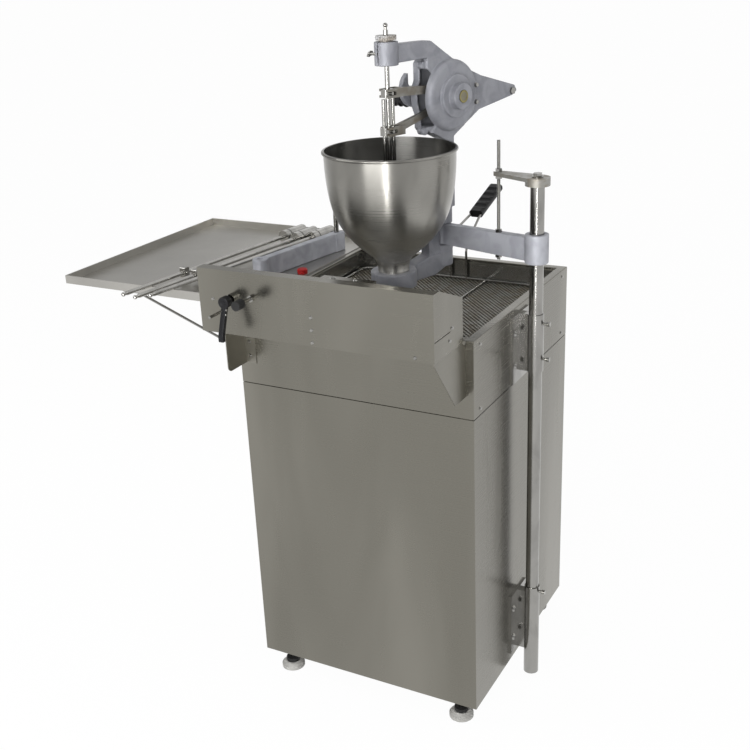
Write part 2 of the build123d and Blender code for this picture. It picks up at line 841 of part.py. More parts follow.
# Rivets, bolts and acorn nuts on the guard and the element cover
short_grip = 2 * guard_sheet + sheet
with BuildPart() as guard_fasteners:
    rivet_places = [
        spot(guard_left + rivet_left_inset, -guard_reach, deck_z + rivet_left_height, FRONT),
        spot(guard_right - rivet_right_inset, -guard_reach, deck_z + rivet_right_height, FRONT),
    ]
    for height in rivet_heights:
        rivet_places.append(spot(rivet_column_x, -guard_reach, deck_z + height, FRONT))
    for place in rivet_places:
        fastener(place, rivet_head_radius, rivet_head_height, rivet_radius, short_grip)
    for y, height in gusset_bolts:
        fastener(spot(guard_right, y, deck_z + height, RIGHT), screw_head_radius, screw_head_height,
                 screw_radius, short_grip)
    y, height = leaf_bolt
    fastener(spot(bracket_left, y, deck_z + height, LEFT), screw_head_radius, screw_head_height,
             screw_radius, short_grip)
    for height in gusset_screws:
        fastener(spot(gusset_left - gusset_flange / 2, -guard_sheet, deck_z + height, FRONT),
                 screw_head_radius, screw_head_height, screw_radius, guard_sheet)
    for height in (bracket_screw_upper, bracket_screw_lower):
        fastener(spot(bracket_screw_x, -guard_sheet, deck_z + height, FRONT),
                 screw_head_radius, screw_head_height, screw_radius, guard_sheet)
    for place in acorn_places:
        hexagon(place, acorn_flats, acorn_hex_height)
        with Locations(place.offset(acorn_hex_height)):
            Sphere(acorn_dome_radius, arc_size1=0)
        with Locations(place):
            Cylinder(screw_radius, screw_grip, align=FROM_TOP)
finish(guard_fasteners.part, "guard_fasteners")

# Lever on the guard: bush, shaft with a latch tongue, and a cranked arm
lever_z = deck_z + lever_height
with BuildPart() as lever_bush:
    peg(spot(lever_x, guard_back, lever_z, FRONT), lever_bush_radius, guard_sheet + lever_bush_stand)
    peg(spot(lever_x, -guard_reach, lever_z, FRONT), lever_bush_flange, lever_bush_stand)
    bore(spot(lever_x, -guard_reach - lever_bush_stand, lever_z, FRONT), lever_shaft_radius + slide_fit,
         2 * guard_sheet + lever_bush_stand)
finish(lever_bush.part, "lever_bush")

with BuildPart() as lever_shaft:
    tongue_back = guard_back + latch_tongue_gap + latch_tongue_thick
    hub_front = -guard_reach - lever_hub_start - lever_hub_length
    peg(spot(lever_x, tongue_back, lever_z, FRONT), lever_shaft_radius, tongue_back - hub_front)
    slab(lever_x - latch_tongue_length, lever_x, tongue_back - latch_tongue_thick, tongue_back,
         lever_z - latch_tongue_width / 2, lever_z + latch_tongue_width / 2)
finish(lever_shaft.part, "lever_shaft")

with BuildPart() as front_lever:
    hub_mid = front_y - guard_reach - lever_hub_start - lever_hub_length / 2
    arm_points = ribbon(
        [
            (hub_mid, lever_z),
            (hub_mid - lever_lean / 6, lever_z - lever_hub_radius),
            (hub_mid - lever_lean, lever_z - lever_length + lever_hub_radius),
            (hub_mid - lever_lean, lever_z - lever_length),
        ],
        lever_thick,
    )
    plate(Plane.YZ.offset(left_x + lever_x - lever_width / 2), arm_points, lever_width)
    fillet(front_lever.edges().filter_by(Axis.X), lever_thick / 5)
    peg(spot(lever_x, -guard_reach - lever_hub_start, lever_z, FRONT), lever_hub_radius, lever_hub_length)
    bore(spot(lever_x, hub_front, lever_z, FRONT), lever_shaft_radius + slide_fit,
         lever_hub_length + OVER)
finish(front_lever.part, "front_lever")

# Stop pin and bumper stem on the guard, with a rubber sleeve on the stem
with BuildPart() as stop_studs:
    bumper_z = deck_z + bumper_height
    peg(spot(stop_pin_x, guard_back, deck_z + stop_pin_height, FRONT), stop_pin_radius,
        guard_sheet + stop_pin_reach)
    peg(spot(bumper_x, guard_back, bumper_z, FRONT), bumper_stem_radius, guard_sheet + bumper_reach - OVER)
    hexagon(spot(bumper_x, -guard_reach, bumper_z, FRONT), rod_nut_flats, rod_nut_height)
finish(stop_studs.part, "stop_studs")

with BuildPart() as bumper_sleeve:
    peg(spot(bumper_x, -guard_reach - bumper_stem_length, bumper_z, FRONT), bumper_radius,
        bumper_reach - bumper_stem_length)
    bore(spot(bumper_x, -guard_reach - bumper_stem_length, bumper_z, BACK),
         bumper_stem_radius + slide_fit, bumper_reach - bumper_stem_length - OVER)
finish(bumper_sleeve.part, "bumper_sleeve")

# Drain tray: a shallow sheet tray, open on its right side, whose edge lies on the rim
tray_left = -tray_reach
tray_low = deck_z + rest_gap
tray_floor_z = tray_low + tray_sheet
tray_high = deck_z + tray_rim_height
tray_end = cabinet_depth + tray_back
with BuildPart() as drain_tray:
    slab(tray_left, tray_lip, tray_front, tray_end, tray_low, tray_high)
    slab(tray_left + tray_rim_thick, tray_lip + OVER, tray_front + tray_rim_thick,
         tray_end - tray_rim_thick, tray_floor_z, tray_high + OVER, Mode.SUBTRACT)
    bore(spot(knob_x, knob_y, tray_floor_z, UP), knob_stud_radius + slide_fit, 2 * tray_sheet)
finish(drain_tray.part, "drain_tray")

with BuildPart() as tray_knob:
    peg(spot(knob_x, knob_y, tray_floor_z, UP), knob_radius, knob_height)
    fillet(tray_knob.edges().sort_by(Axis.Z)[-1], knob_height / 3)
    peg(spot(knob_x, knob_y, tray_floor_z, DOWN), knob_stud_radius, tray_sheet + knob_stud_depth)
    hexagon(spot(knob_x, knob_y, tray_low, DOWN), knob_nut_flats, knob_nut_height)
finish(tray_knob.part, "tray_knob")

# Tray braces: bent rods from the left wall, welded to screwed foot plates
brace_top_z = deck_z - brace_radius
with BuildPart() as tray_braces:
    for y in brace_rows:
        brace_path = [
            (left_x - brace_top_run - brace_top_leg, front_y + y, brace_top_z),
            (left_x - brace_top_run, front_y + y, brace_top_z),
            (left_x - brace_plate_thick, front_y + y, deck_z - brace_drop),
        ]
        with BuildLine() as brace_line:
            FilletPolyline(*brace_path, radius=brace_bend)
        with BuildSketch(Plane(origin=brace_path[0], z_dir=RIGHT)):
            Circle(brace_radius)
        sweep(path=brace_line.wire())
        slab(-brace_plate_thick, 0, y - brace_plate_width / 2, y + brace_plate_width / 2,
             deck_z - brace_drop - brace_plate_height / 2, deck_z - brace_drop + brace_plate_height / 2)
    for place in brace_screw_places:
        bore(place, screw_radius + slide_fit, 2 * brace_plate_thick)
finish(tray_braces.part, "tray_braces")

# Spare plungers: each lies with its rod on the tray's front rim and its piston on the floor
piston_tilt_room = 0.6
for letter, (piston_x, piston_y, tip_x) in spare_places.items():
    piston_z = tray_floor_z + spare_piston_radius + rest_gap + piston_tilt_room
    rim_y = tray_front + tray_rim_thick / 2
    rim_z = tray_high + spare_rod_radius + rest_gap
    rim_x = piston_x + (tip_x - piston_x) * (piston_y - rim_y) / spare_length
    middle = Vector(left_x + piston_x, front_y + piston_y, piston_z)
    rim_point = Vector(left_x + rim_x, front_y + rim_y, rim_z)
    along = (rim_point - middle).normalized()
    lying = Plane(origin=middle, x_dir=along, z_dir=along.cross(Vector(0, 0, 1)))
    half_piston = spare_piston_length / 2
    groove = half_piston - spare_groove_inset
    ball = spare_length - spare_tip_radius
    spare_crosshead = spare_length - spare_crosshead_inset
    with BuildPart() as spare_plunger:
        with BuildSketch(lying):
            with BuildLine():
                Polyline(
                    (-half_piston, 0),
                    (-half_piston, spare_piston_radius),
                    (groove, spare_piston_radius),
                    (groove, spare_piston_radius - spare_groove_depth),
                    (groove + spare_groove_width, spare_piston_radius - spare_groove_depth),
                    (groove + spare_groove_width, spare_piston_radius),
                    (half_piston, spare_piston_radius),
                    (half_piston, spare_rod_radius),
                    (ball - spare_tip_radius - spare_neck_length, spare_rod_radius),
                    (ball - spare_tip_radius, spare_neck_radius),
                    (ball, spare_neck_radius),
                    (ball, 0),
                    close=True,
                )
            make_face()
        revolve(axis=Axis(middle, along))
        with Locations(Plane(origin=middle + along * ball, z_dir=along)):
            Sphere(spare_tip_radius)
        with BuildSketch(lying.offset(-spare_crosshead_thick / 2)):
            with Locations((spare_crosshead, 0)):
                RectangleRounded(spare_crosshead_thick, spare_crosshead_height, spare_crosshead_thick / 5)
        extrude(amount=spare_crosshead_thick)
        with BuildSketch(lying.offset(-spare_crosshead_thick / 2 - spare_pin_reach)):
            with Locations((spare_crosshead, 0)):
                Circle(crosshead_pin_radius)
        extrude(amount=spare_crosshead_thick + 2 * spare_pin_reach)
        with BuildSketch(lying.offset(-spare_piston_radius - OVER)):
            with Locations((spare_window_length - half_piston, 0)):
                RectangleRounded(spare_window_length, spare_window_width, spare_window_width / 3)
        extrude(amount=2 * (spare_piston_radius + OVER), mode=Mode.SUBTRACT)
    finish(spare_plunger.part, "spare_plunger_" + letter)

# Extension arm: a loose cast bar lying on the tray, with an upright pin in its far block
extension_z = tray_floor_z + rest_gap
near_place = Vector(left_x + extension_near[0], front_y + extension_near[1], extension_z)
far_place = Vector(left_x + extension_far[0], front_y + extension_far[1], extension_z)
extension_dir = (far_place - near_place).normalized()
extension_span = (far_place - near_place).length
EXTENSION = Plane(origin=near_place, x_dir=extension_dir, z_dir=UP)
with BuildPart() as extension_arm:
    with BuildSketch(EXTENSION):
        Circle(extension_boss_radius)
        with Locations((extension_span / 2, 0)):
            Rectangle(extension_span, extension_width)
        with Locations((extension_span, 0)):
            Rectangle(extension_block_length, extension_block_width)
    extrude(amount=extension_height)
    bore(EXTENSION.offset(extension_height), extension_bore, extension_height + OVER)
    far_top = Plane(origin=far_place + Vector(0, 0, extension_height), z_dir=UP)
    bore(far_top, extension_pin_radius + slide_fit, extension_pin_depth)
finish(extension_arm.part, "extension_arm")

with BuildPart() as extension_pin:
    peg(far_top.offset(-extension_pin_depth), extension_pin_radius, extension_pin_depth + extension_pin_rise)
    fillet(extension_pin.edges().sort_by(Axis.Z)[-1], extension_pin_radius / 4)
finish(extension_pin.part, "extension_pin")

# Fry screen: a wire frame with two cross wires and a long handle
screen_left = tank_side + sheet + screen_side_gap
screen_back = cabinet_depth - tank_side - sheet - screen_back_gap
screen_width = cabinet_width - 2 * screen_left
screen_depth = screen_back - screen_front
screen_mid = Vector(left_x + half_width, front_y + (screen_front + screen_back) / 2, screen_z + wire_radius)
grip_start_y = cabinet_depth + grip_start
grip_start_z = deck_z + grip_start_rise
grip_slope_y = cos(radians(grip_slope))
grip_slope_z = sin(radians(grip_slope))
grip_rise = grip_slope_z / grip_slope_y
wire_line_y = screen_back - wire_radius
with BuildPart() as screen_frame:
    with BuildSketch(Plane(origin=screen_mid - Vector(0, 0, wire_radius), z_dir=UP)):
        RectangleRounded(screen_width, screen_depth, wire_corner)
        RectangleRounded(screen_width - 4 * wire_radius, screen_depth - 4 * wire_radius,
                         wire_corner - 2 * wire_radius, mode=Mode.SUBTRACT)
    extrude(amount=2 * wire_radius)
    fillet(screen_frame.edges(), wire_radius * 0.8)
    for side in (-1, 1):
        peg(spot(half_width + side * cross_wire_spread / 2, screen_front + wire_radius,
                 screen_z + wire_radius, BACK), wire_radius * 0.9, screen_depth - 2 * wire_radius)
    for side in (-1, 1):
        wire_x = left_x + handle_mid + side * handle_spread / 2
        grip_x = left_x + handle_mid + side * handle_grip_spread / 2
        handle_path = [
            (wire_x, front_y + wire_line_y, screen_z + wire_radius),
            (wire_x, front_y + wire_line_y, deck_z + handle_rise),
            (wire_x, front_y + wire_line_y + handle_lean_run, deck_z + handle_lean_rise),
            (grip_x, front_y + grip_start_y - 2 * wire_radius, grip_start_z - 2 * wire_radius * grip_rise),
            (grip_x, front_y + grip_start_y + grip_socket, grip_start_z + grip_socket * grip_rise),
        ]
        with BuildLine() as handle_line:
            FilletPolyline(*handle_path, radius=4 * wire_radius)
        with BuildSketch(Plane(origin=handle_path[0], z_dir=UP)):
            Circle(wire_radius)
        sweep(path=handle_line.wire())
finish(screen_frame.part, "screen_frame")

cell_x = (screen_width - 2 * wire_radius) / (mesh_cells_x + 0.5)
cell_y = (screen_depth - 2 * wire_radius) / (mesh_cells_y + 0.5)
with BuildPart() as screen_mesh:
    with BuildSketch(Plane(origin=screen_mid - Vector(0, 0, wire_radius + mesh_thick), z_dir=UP)):
        RectangleRounded(screen_width, screen_depth, wire_corner)
        rhombus = (cell_x - 2 * mesh_strand) / 2, (cell_y - 2 * mesh_strand) / 2
        corners = [(rhombus[0], 0), (0, rhombus[1]), (-rhombus[0], 0), (0, -rhombus[1])]
        with GridLocations(cell_x, cell_y, mesh_cells_x, mesh_cells_y):
            Polygon(*corners, align=None, mode=Mode.SUBTRACT)
        with GridLocations(cell_x, cell_y, mesh_cells_x - 1, mesh_cells_y - 1):
            Polygon(*corners, align=None, mode=Mode.SUBTRACT)
    extrude(amount=mesh_thick)
finish(screen_mesh.part, "screen_mesh")

grip_axis = Vector(0, grip_slope_y, grip_slope_z)
grip_origin = Vector(left_x + handle_mid, front_y + grip_start_y, grip_start_z)
grip_length = (grip_reach - grip_start - grip_thick / 2 * grip_slope_z) / grip_slope_y
GRIP = Plane(origin=grip_origin, x_dir=(1, 0, 0), z_dir=grip_axis)
with BuildPart() as screen_grip:
    with BuildSketch(GRIP):
        RectangleRounded(grip_width, grip_thick, grip_round)
    extrude(amount=grip_length)
    groove_pitch = grip_length / (groove_count + 1)
    groove_drop = grip_thick / 2 - groove_depth + groove_radius
    for step in range(groove_count):
        axis_point = grip_origin + grip_axis * (groove_pitch * (step + 1)) - GRIP.y_dir * groove_drop
        with Locations(Plane(origin=axis_point, z_dir=(1, 0, 0))):
            Cylinder(groove_radius, grip_width + OVER, mode=Mode.SUBTRACT)
    for side in (-1, 1):
        socket_place = grip_origin + Vector(side * handle_grip_spread / 2, 0, 0)
        socket_face = Plane(origin=socket_place, z_dir=-grip_axis)
        bore(socket_face, wire_radius + slide_fit, grip_socket / grip_slope_y)
finish(screen_grip.part, "screen_grip")

# Post brackets: a wall plate, a web and a sleeve round the post
sleeve_radius = post_radius + sleeve_wall
post_top = hanger_boss_bottom + hanger_boss_height - hanger_web
post_x = cabinet_width + post_standoff


def post_bracket(plate_z, plate_height, sleeve_z, sleeve_height, bolt_places, screw_heights):
    """A bracket between the wall and the post, with holes for its bolts and set screws."""
    wall_face = cabinet_width + plate_thick
    web_low = max(plate_z, sleeve_z)
    web_high = min(plate_z + plate_height, sleeve_z + sleeve_height)
    slab(cabinet_width, wall_face, post_setback - plate_width / 2, post_setback + plate_width / 2,
         plate_z, plate_z + plate_height)
    slab(wall_face, post_x, post_setback - web_thick / 2, post_setback + web_thick / 2, web_low, web_high)
    peg(spot(post_x, post_setback, sleeve_z, UP), sleeve_radius, sleeve_height)
    bore(spot(post_x, post_setback, sleeve_z + sleeve_height, UP), post_radius + slide_fit,
         sleeve_height + OVER)
    for place in bolt_places:
        bore(place, bolt_radius + slide_fit, plate_thick + OVER)
    for z in screw_heights:
        bore(spot(post_x + sleeve_radius, post_setback, z, RIGHT), set_screw_radius + slide_fit,
             sleeve_wall + OVER)


upper_screw_heights = [deck_z + height for height in upper_set_screws]
with BuildPart() as upper_bracket:
    post_bracket(upper_plate_z, upper_plate_height, deck_z + upper_sleeve_bottom, upper_sleeve_height,
                 upper_bolt_places, upper_screw_heights)
finish(upper_bracket.part, "upper_bracket")

with BuildPart() as lower_bracket:
    post_bracket(lower_plate_bottom, lower_plate_height, lower_sleeve_bottom, lower_sleeve_height,
                 lower_bolt_places, [lower_set_screw])
finish(lower_bracket.part, "lower_bracket")

with BuildPart() as set_screws:
    for z in upper_screw_heights + [lower_set_screw]:
        head_start = sleeve_radius + set_screw_reach - set_screw_head
        peg(spot(post_x + post_radius + slide_fit, post_setback, z, RIGHT), set_screw_radius,
            head_start - post_radius)
        peg(spot(post_x + head_start, post_setback, z, RIGHT), set_screw_head_radius, set_screw_head)
finish(set_screws.part, "set_screws")

# Post: a tube with a plugged, tapped top
with BuildPart() as post:
    post_height = deck_z + post_top - post_foot_gap
    peg(spot(post_x, post_setback, post_foot_gap, UP), post_radius, post_height)
    bore(spot(post_x, post_setback, post_foot_gap, DOWN), post_radius - post_wall, post_height - post_plug)
    bore(spot(post_x, post_setback, deck_z + post_top, UP), hanger_bolt_radius + slide_fit, post_plug)
finish(post.part, "post")

# Hanger: caps the post and carries the threaded rod
hanger_top = hanger_boss_bottom + hanger_boss_height
ARM_TOP = Plane(origin=post_place, x_dir=arm_dir, z_dir=UP)
rod_place = Plane(origin=post_place + arm_dir * rod_offset, z_dir=UP)
with BuildPart() as hanger_bracket:
    peg(ARM_TOP.offset(hanger_boss_bottom), hanger_boss_radius, hanger_boss_height)
    with BuildSketch(ARM_TOP.offset(hanger_top - hanger_bar_height)):
        Circle(hanger_boss_radius)
        with Locations((rod_offset, 0)):
            Circle(hanger_bar_width / 2)
        make_hull()
    extrude(amount=hanger_bar_height)
    with BuildSketch(ARM_TOP.offset(hanger_top + OVER)):
        with Locations((rod_offset + hanger_tip / 2, 0)):
            SlotCenterToCenter(hanger_tip, 2 * (rod_radius + loose_fit))
    extrude(amount=-hanger_bar_height - 2 * OVER, mode=Mode.SUBTRACT)
    bore(ARM_TOP.offset(post_top), post_radius + slide_fit, post_top - hanger_boss_bottom + OVER)
    peg(ARM_TOP.offset(post_top), post_radius + OVER, hanger_web)
    bore(ARM_TOP.offset(hanger_top), hanger_bolt_radius + slide_fit, hanger_web + OVER)
finish(hanger_bracket.part, "hanger_bracket")

with BuildPart() as hanger_bolt:
    peg(ARM_TOP.offset(hanger_top), hanger_washer_radius, hanger_washer_thick)
    hexagon(ARM_TOP.offset(hanger_top + hanger_washer_thick), hanger_bolt_flats, hanger_bolt_head)
    with Locations(ARM_TOP.offset(hanger_top)):
        Cylinder(hanger_bolt_radius, hanger_web + post_plug - OVER, align=FROM_TOP)
finish(hanger_bolt.part, "hanger_bolt")

with BuildPart() as hanger_nuts:
    hexagon(rod_place.offset(hanger_top), rod_nut_flats, rod_nut_height, rod_radius + slide_fit)
    hexagon(rod_place.offset(hanger_top - hanger_bar_height - rod_nut_height), rod_nut_flats,
            rod_nut_height, rod_radius + slide_fit)
finish(hanger_nuts.part, "hanger_nuts")

with BuildPart() as threaded_rod:
    peg(rod_place.offset(rod_bottom), rod_radius, rod_top - rod_bottom)
    chamfer(threaded_rod.edges().filter_by(GeomType.CIRCLE), rod_radius / 4)
finish(threaded_rod.part, "threaded_rod")

# Swing arm: a cast collar on the post, a tapering bar and a boss for the pivot pin
with BuildPart() as swing_arm:
    arm_points = [
        (0, arm_bottom),
        (arm_length, arm_bottom),
        (arm_length, arm_end_top),
        (arm_length - lug_radius - lug_room, arm_end_top),
        (collar_radius, arm_root_top),
        (0, arm_root_top),
    ]
    plate(ARM_SIDE.offset(-arm_thick / 2), arm_points, arm_thick)
    peg(ARM_TOP.offset(collar_bottom), collar_radius, collar_top - collar_bottom)
    arm_end = Plane(origin=pivot_place, z_dir=UP)
    peg(arm_end.offset(arm_bottom), arm_end_radius, arm_end_top - arm_bottom)
    bore(rod_place.offset(collar_top), arm_spot_face, collar_top - arm_nut_seat)
    bore(rod_place.offset(collar_top), rod_radius + loose_fit, collar_top - collar_bottom + OVER)
    bore(ARM_TOP.offset(collar_top), post_radius + slide_fit, collar_top - collar_bottom + OVER)
    bore(arm_end.offset(arm_end_top), pivot_pin_radius + slide_fit, arm_end_top - arm_bottom + OVER)
finish(swing_arm.part, "swing_arm")

with BuildPart() as arm_nuts:
    hexagon(rod_place.offset(arm_nut_seat), rod_nut_flats, rod_nut_height, rod_radius + slide_fit)
    hexagon(rod_place.offset(arm_bottom - rod_nut_height), rod_nut_flats, rod_nut_height,
            rod_radius + slide_fit)
finish(arm_nuts.part, "arm_nuts")

with BuildPart() as pivot_pin:
    peg(arm_end.offset(lug_bottom), pivot_pin_radius, lug_top - lug_bottom)
    peg(arm_end.offset(lug_top), pivot_pin_head_radius, pivot_pin_head_height)
finish(pivot_pin.part, "pivot_pin")

# Outlines of the depositor head, seen from its near side
case_right = case_s + case_radius
left_box = [
    (case_left, case_left_bottom + case_corner),
    (case_left + case_corner, case_left_bottom),
    (case_s, case_left_bottom),
    (case_s, case_left_top),
    (case_left + case_corner, case_left_top),
    (case_left, case_left_top - case_corner),
]
left_room = [
    (case_left - loose_fit, case_left_bottom - loose_fit),
    (case_s, case_left_bottom - loose_fit),
    (case_s, case_left_top + loose_fit),
    (case_left - loose_fit, case_left_top + loose_fit),
]
left_hollow = [
    (case_left + case_wall, slot_bottom),
    (case_s, slot_bottom),
    (case_s, slot_top),
    (case_left + case_wall, slot_top),
]
slot_outline = [
    (case_left - 2 * case_wall, slot_bottom),
    (case_s, slot_bottom),
    (case_s, slot_top),
    (case_left - 2 * case_wall, slot_top),
]
tail_outline = [
    (case_s, case_height + case_radius - case_wall),
    (case_right - 2.0, case_height + 42.0),
    (case_right + 24.0, case_height + 31.0),
    (tail_s + 10.0, tail_height + 12.0),
    (tail_s + 18.0, tail_height - 1.0),
    (tail_s + 4.0, tail_height - 10.0),
    (case_right + 17.0, case_height - 42.0),
    (case_right - 30.0, case_height - 68.0),
    (case_s, case_height),
]
tail_hollow = [
    (case_s, case_height + 36.0),
    (case_right, case_height + 35.0),
    (case_right + 24.0, case_height + 24.0),
    (tail_s + link_eye_radius + 2.0, tail_height + link_eye_radius + 0.5),
    (tail_s + link_eye_radius + 2.0, tail_height - 3 * link_eye_radius),
    (tail_s - 4 * link_eye_radius, tail_height - 3 * link_eye_radius),
    (tail_s - 4 * link_eye_radius, tail_height - 11.0),
    (case_right + 17.0, case_height - 36.0),
    (case_right, case_height - 50.0),
    (case_s, case_height - 50.0),
]
top_arm_outline = [
    (0, clamp_bottom + 3.0),
    (0, clamp_top - 6.0),
    (case_left + 12.0, clamp_top - 8.0),
    (case_s + 18.0, case_height + case_radius - 4.0),
    (case_right - 2.0, case_height + 42.0),
    (case_s, case_height),
    (case_left, case_left_top - 20.0),
    (case_left, case_left_top + 3.0),
]
column_outline = [
    (column_front, lug_top - 10.0),
    (column_front, case_left_bottom - 24.0),
    (case_left + 8.0, case_left_bottom + 2.0),
    (case_s, case_height),
    (case_right - 30.0, case_height - 68.0),
    (column_back, case_left_bottom - 14.0),
    (column_back, lug_top - 10.0),
]
arm_room = pivot_reach - arm_end_radius - lug_room
throat_outline = [
    (throat_start, lug_bottom),
    (throat_start, arm_end_top - 12.0),
    (pivot_reach - lug_radius + 6.0, lug_top),
    (column_front, lug_top),
    (column_front, arm_end_top + lug_gap),
    (arm_room, arm_end_top + lug_gap),
    (arm_room, arm_bottom - lug_gap),
    (pivot_reach, arm_bottom - lug_gap),
    (pivot_reach, lug_bottom),
]
lower_arm_outline = [
    (0, lower_arm_bottom),
    (0, ring_top),
    (ring_radius, ring_top),
    (throat_start, ring_top + 12.0),
    (pivot_reach, ring_top + 12.0),
    (pivot_reach, lug_bottom),
    (throat_start + 14.0, lower_arm_bottom),
]
lug_place = Plane(origin=pivot_place, z_dir=UP)
clamp_screw_height = (clamp_bottom + clamp_top) / 2
tail_screw_heights = [case_height - 3.0 + side * tail_screw_spread / 2 for side in (-1, 1)]
boss_reach = boss_steps[-1][1]
lug_s = case_left - cover_lug_reach
cover_lug_heights = (slot_bottom - cover_lug_radius - OVER, slot_top + cover_lug_radius + OVER)


def case_disc(start, radius, depth, mode=Mode.ADD):
    """A round slice of the cam case."""
    peg(head_spot(case_s, start, case_height, near_dir), radius, depth, mode)


# Depositor frame: one casting from the hopper's ring up to the near half of the cam case and the clamp
with BuildPart() as depositor_frame:
    case_disc(0, case_radius, case_depth)
    case_rim = depositor_frame.edges().filter_by(GeomType.CIRCLE).sort_by(Axis(hopper_place, near_dir))[-1]
    fillet(case_rim, case_round)
    plate(HEAD_SIDE, left_box, slot_width / 2)
    for radius, reach in boss_steps:
        case_disc(0, radius, reach)
    plate(HEAD_SIDE.offset(-tail_half), tail_outline, 2 * tail_half)
    plate(HEAD_SIDE.offset(-top_arm_width / 2), top_arm_outline, top_arm_width)
    plate(HEAD_SIDE.offset(-column_width / 2), column_outline, column_width)
    plate(HEAD_SIDE.offset(-throat_width / 2), throat_outline, throat_width)
    plate(HEAD_SIDE.offset(-lower_arm_width / 2), lower_arm_outline, lower_arm_width)
    peg(HEAD_TOP.offset(lower_arm_bottom), ring_radius, ring_top - lower_arm_bottom)
    peg(lug_place.offset(lug_bottom), lug_radius, arm_bottom - lug_gap - lug_bottom)
    peg(lug_place.offset(arm_end_top + lug_gap), lug_radius, lug_top - arm_end_top - lug_gap)
    peg(HEAD_TOP.offset(clamp_bottom), clamp_radius, clamp_top - clamp_bottom)
    # Room for the cover, the cams, the links and the arm
    case_disc(-2 * case_depth, case_radius + loose_fit, 2 * case_depth, Mode.SUBTRACT)
    plate(HEAD_SIDE.offset(-2 * case_depth), left_room, 2 * case_depth, Mode.SUBTRACT)
    case_disc(-OVER, case_radius - case_wall, case_depth - case_wall + OVER, Mode.SUBTRACT)
    plate(HEAD_SIDE.offset(-tail_hollow_half), tail_hollow, 2 * tail_hollow_half, Mode.SUBTRACT)
    plate(HEAD_SIDE.offset(-OVER), slot_outline, slot_width / 2 + OVER, Mode.SUBTRACT)
    peg(lug_place.offset(arm_bottom - lug_gap), arm_end_radius + lug_room,
        arm_end_top - arm_bottom + 2 * lug_gap, Mode.SUBTRACT)
    # Bores for the cylinder, the pivot pin, the bush, the clamp and the bolts
    bore(HEAD_TOP.offset(ring_top), cylinder_radius + slide_fit, ring_top - lower_arm_bottom + OVER)
    bore(lug_place.offset(lug_top), pivot_pin_radius + slide_fit, lug_top - lug_bottom + OVER)
    bore(head_spot(case_s, boss_reach, case_height, near_dir), bush_radius + slide_fit, boss_reach)
    bore(HEAD_TOP.offset(clamp_top), portion_neck_radius + slide_fit, clamp_top - clamp_bottom + OVER)
    with BuildSketch(HEAD_TOP.offset(clamp_bottom - OVER)):
        with Locations((-clamp_radius / 2 - OVER, 0)):
            Rectangle(clamp_radius + 2 * OVER, clamp_slit)
    extrude(amount=clamp_top - clamp_bottom + 2 * OVER, mode=Mode.SUBTRACT)
    bore(head_spot(clamp_screw_s, -clamp_radius, clamp_screw_height, -near_dir), wing_radius + slide_fit,
         clamp_radius + wing_reach + OVER)
    bore(head_spot(tail_s, tail_half, tail_height, near_dir), tail_bolt_radius + slide_fit,
         2 * tail_half + OVER)
    for height in tail_screw_heights:
        bore(head_spot(tail_screw_s, case_depth, height, near_dir), screw_radius + slide_fit, case_wall)
    for height in cover_lug_heights:
        peg(head_spot(lug_s, 0, height, near_dir), cover_lug_radius, cover_lug_thick)
        bore(head_spot(lug_s, 0, height, -near_dir), screw_radius + slide_fit, screw_grip)
finish(depositor_frame.part, "depositor_frame")

# Cam cover: the far half of the cam case, with two small lugs on its left edge
with BuildPart() as cam_cover:
    case_disc(-case_depth, case_radius, case_depth)
    plate(HEAD_SIDE.offset(-case_depth), left_box, case_depth)
    case_disc(-case_depth + case_wall, case_radius - case_wall, case_depth, Mode.SUBTRACT)
    plate(HEAD_SIDE.offset(-case_depth + case_wall), left_hollow, case_depth, Mode.SUBTRACT)
    plate(HEAD_SIDE.offset(-slot_width / 2), slot_outline, slot_width, Mode.SUBTRACT)
    plate(HEAD_SIDE.offset(-tail_hollow_half), tail_hollow, 2 * tail_hollow_half, Mode.SUBTRACT)
    for height in cover_lug_heights:
        peg(head_spot(lug_s, 0, height, -near_dir), cover_lug_radius, cover_lug_thick)
        bore(head_spot(lug_s, -cover_lug_thick, height, -near_dir), screw_radius + slide_fit,
             cover_lug_thick + OVER)
    bore(head_spot(case_s, 0, case_height, near_dir), shaft_radius + slide_fit, case_depth + OVER)
finish(cam_cover.part, "cam_cover")

with BuildPart() as cover_screws:
    for height in tail_screw_heights:
        fastener(head_spot(tail_screw_s, case_depth, height, near_dir), tail_screw_head_radius,
                 2 * screw_head_height, screw_radius, case_wall - OVER)
    for height in cover_lug_heights:
        fastener(head_spot(lug_s, -cover_lug_thick, height, -near_dir), screw_head_radius,
                 screw_head_height, screw_radius, cover_lug_thick + screw_grip - OVER)
    bolt_start = head_spot(tail_s, -tail_half - tail_bolt_head, tail_height, near_dir)
    peg(bolt_start, tail_bolt_radius, 2 * tail_half + tail_bolt_head)
    hexagon(bolt_start, tail_bolt_flats, tail_bolt_head)
    hexagon(head_spot(tail_s, tail_half, tail_height, near_dir), tail_bolt_flats, tail_bolt_head)
finish(cover_screws.part, "cover_screws")

with BuildPart() as shaft_bush:
    peg(head_spot(case_s, boss_reach - bush_length, case_height, near_dir), bush_radius,
        bush_length + rest_gap)
    bore(head_spot(case_s, boss_reach + rest_gap, case_height, near_dir), shaft_radius + slide_fit,
         bush_length + OVER)
finish(shaft_bush.part, "shaft_bush")

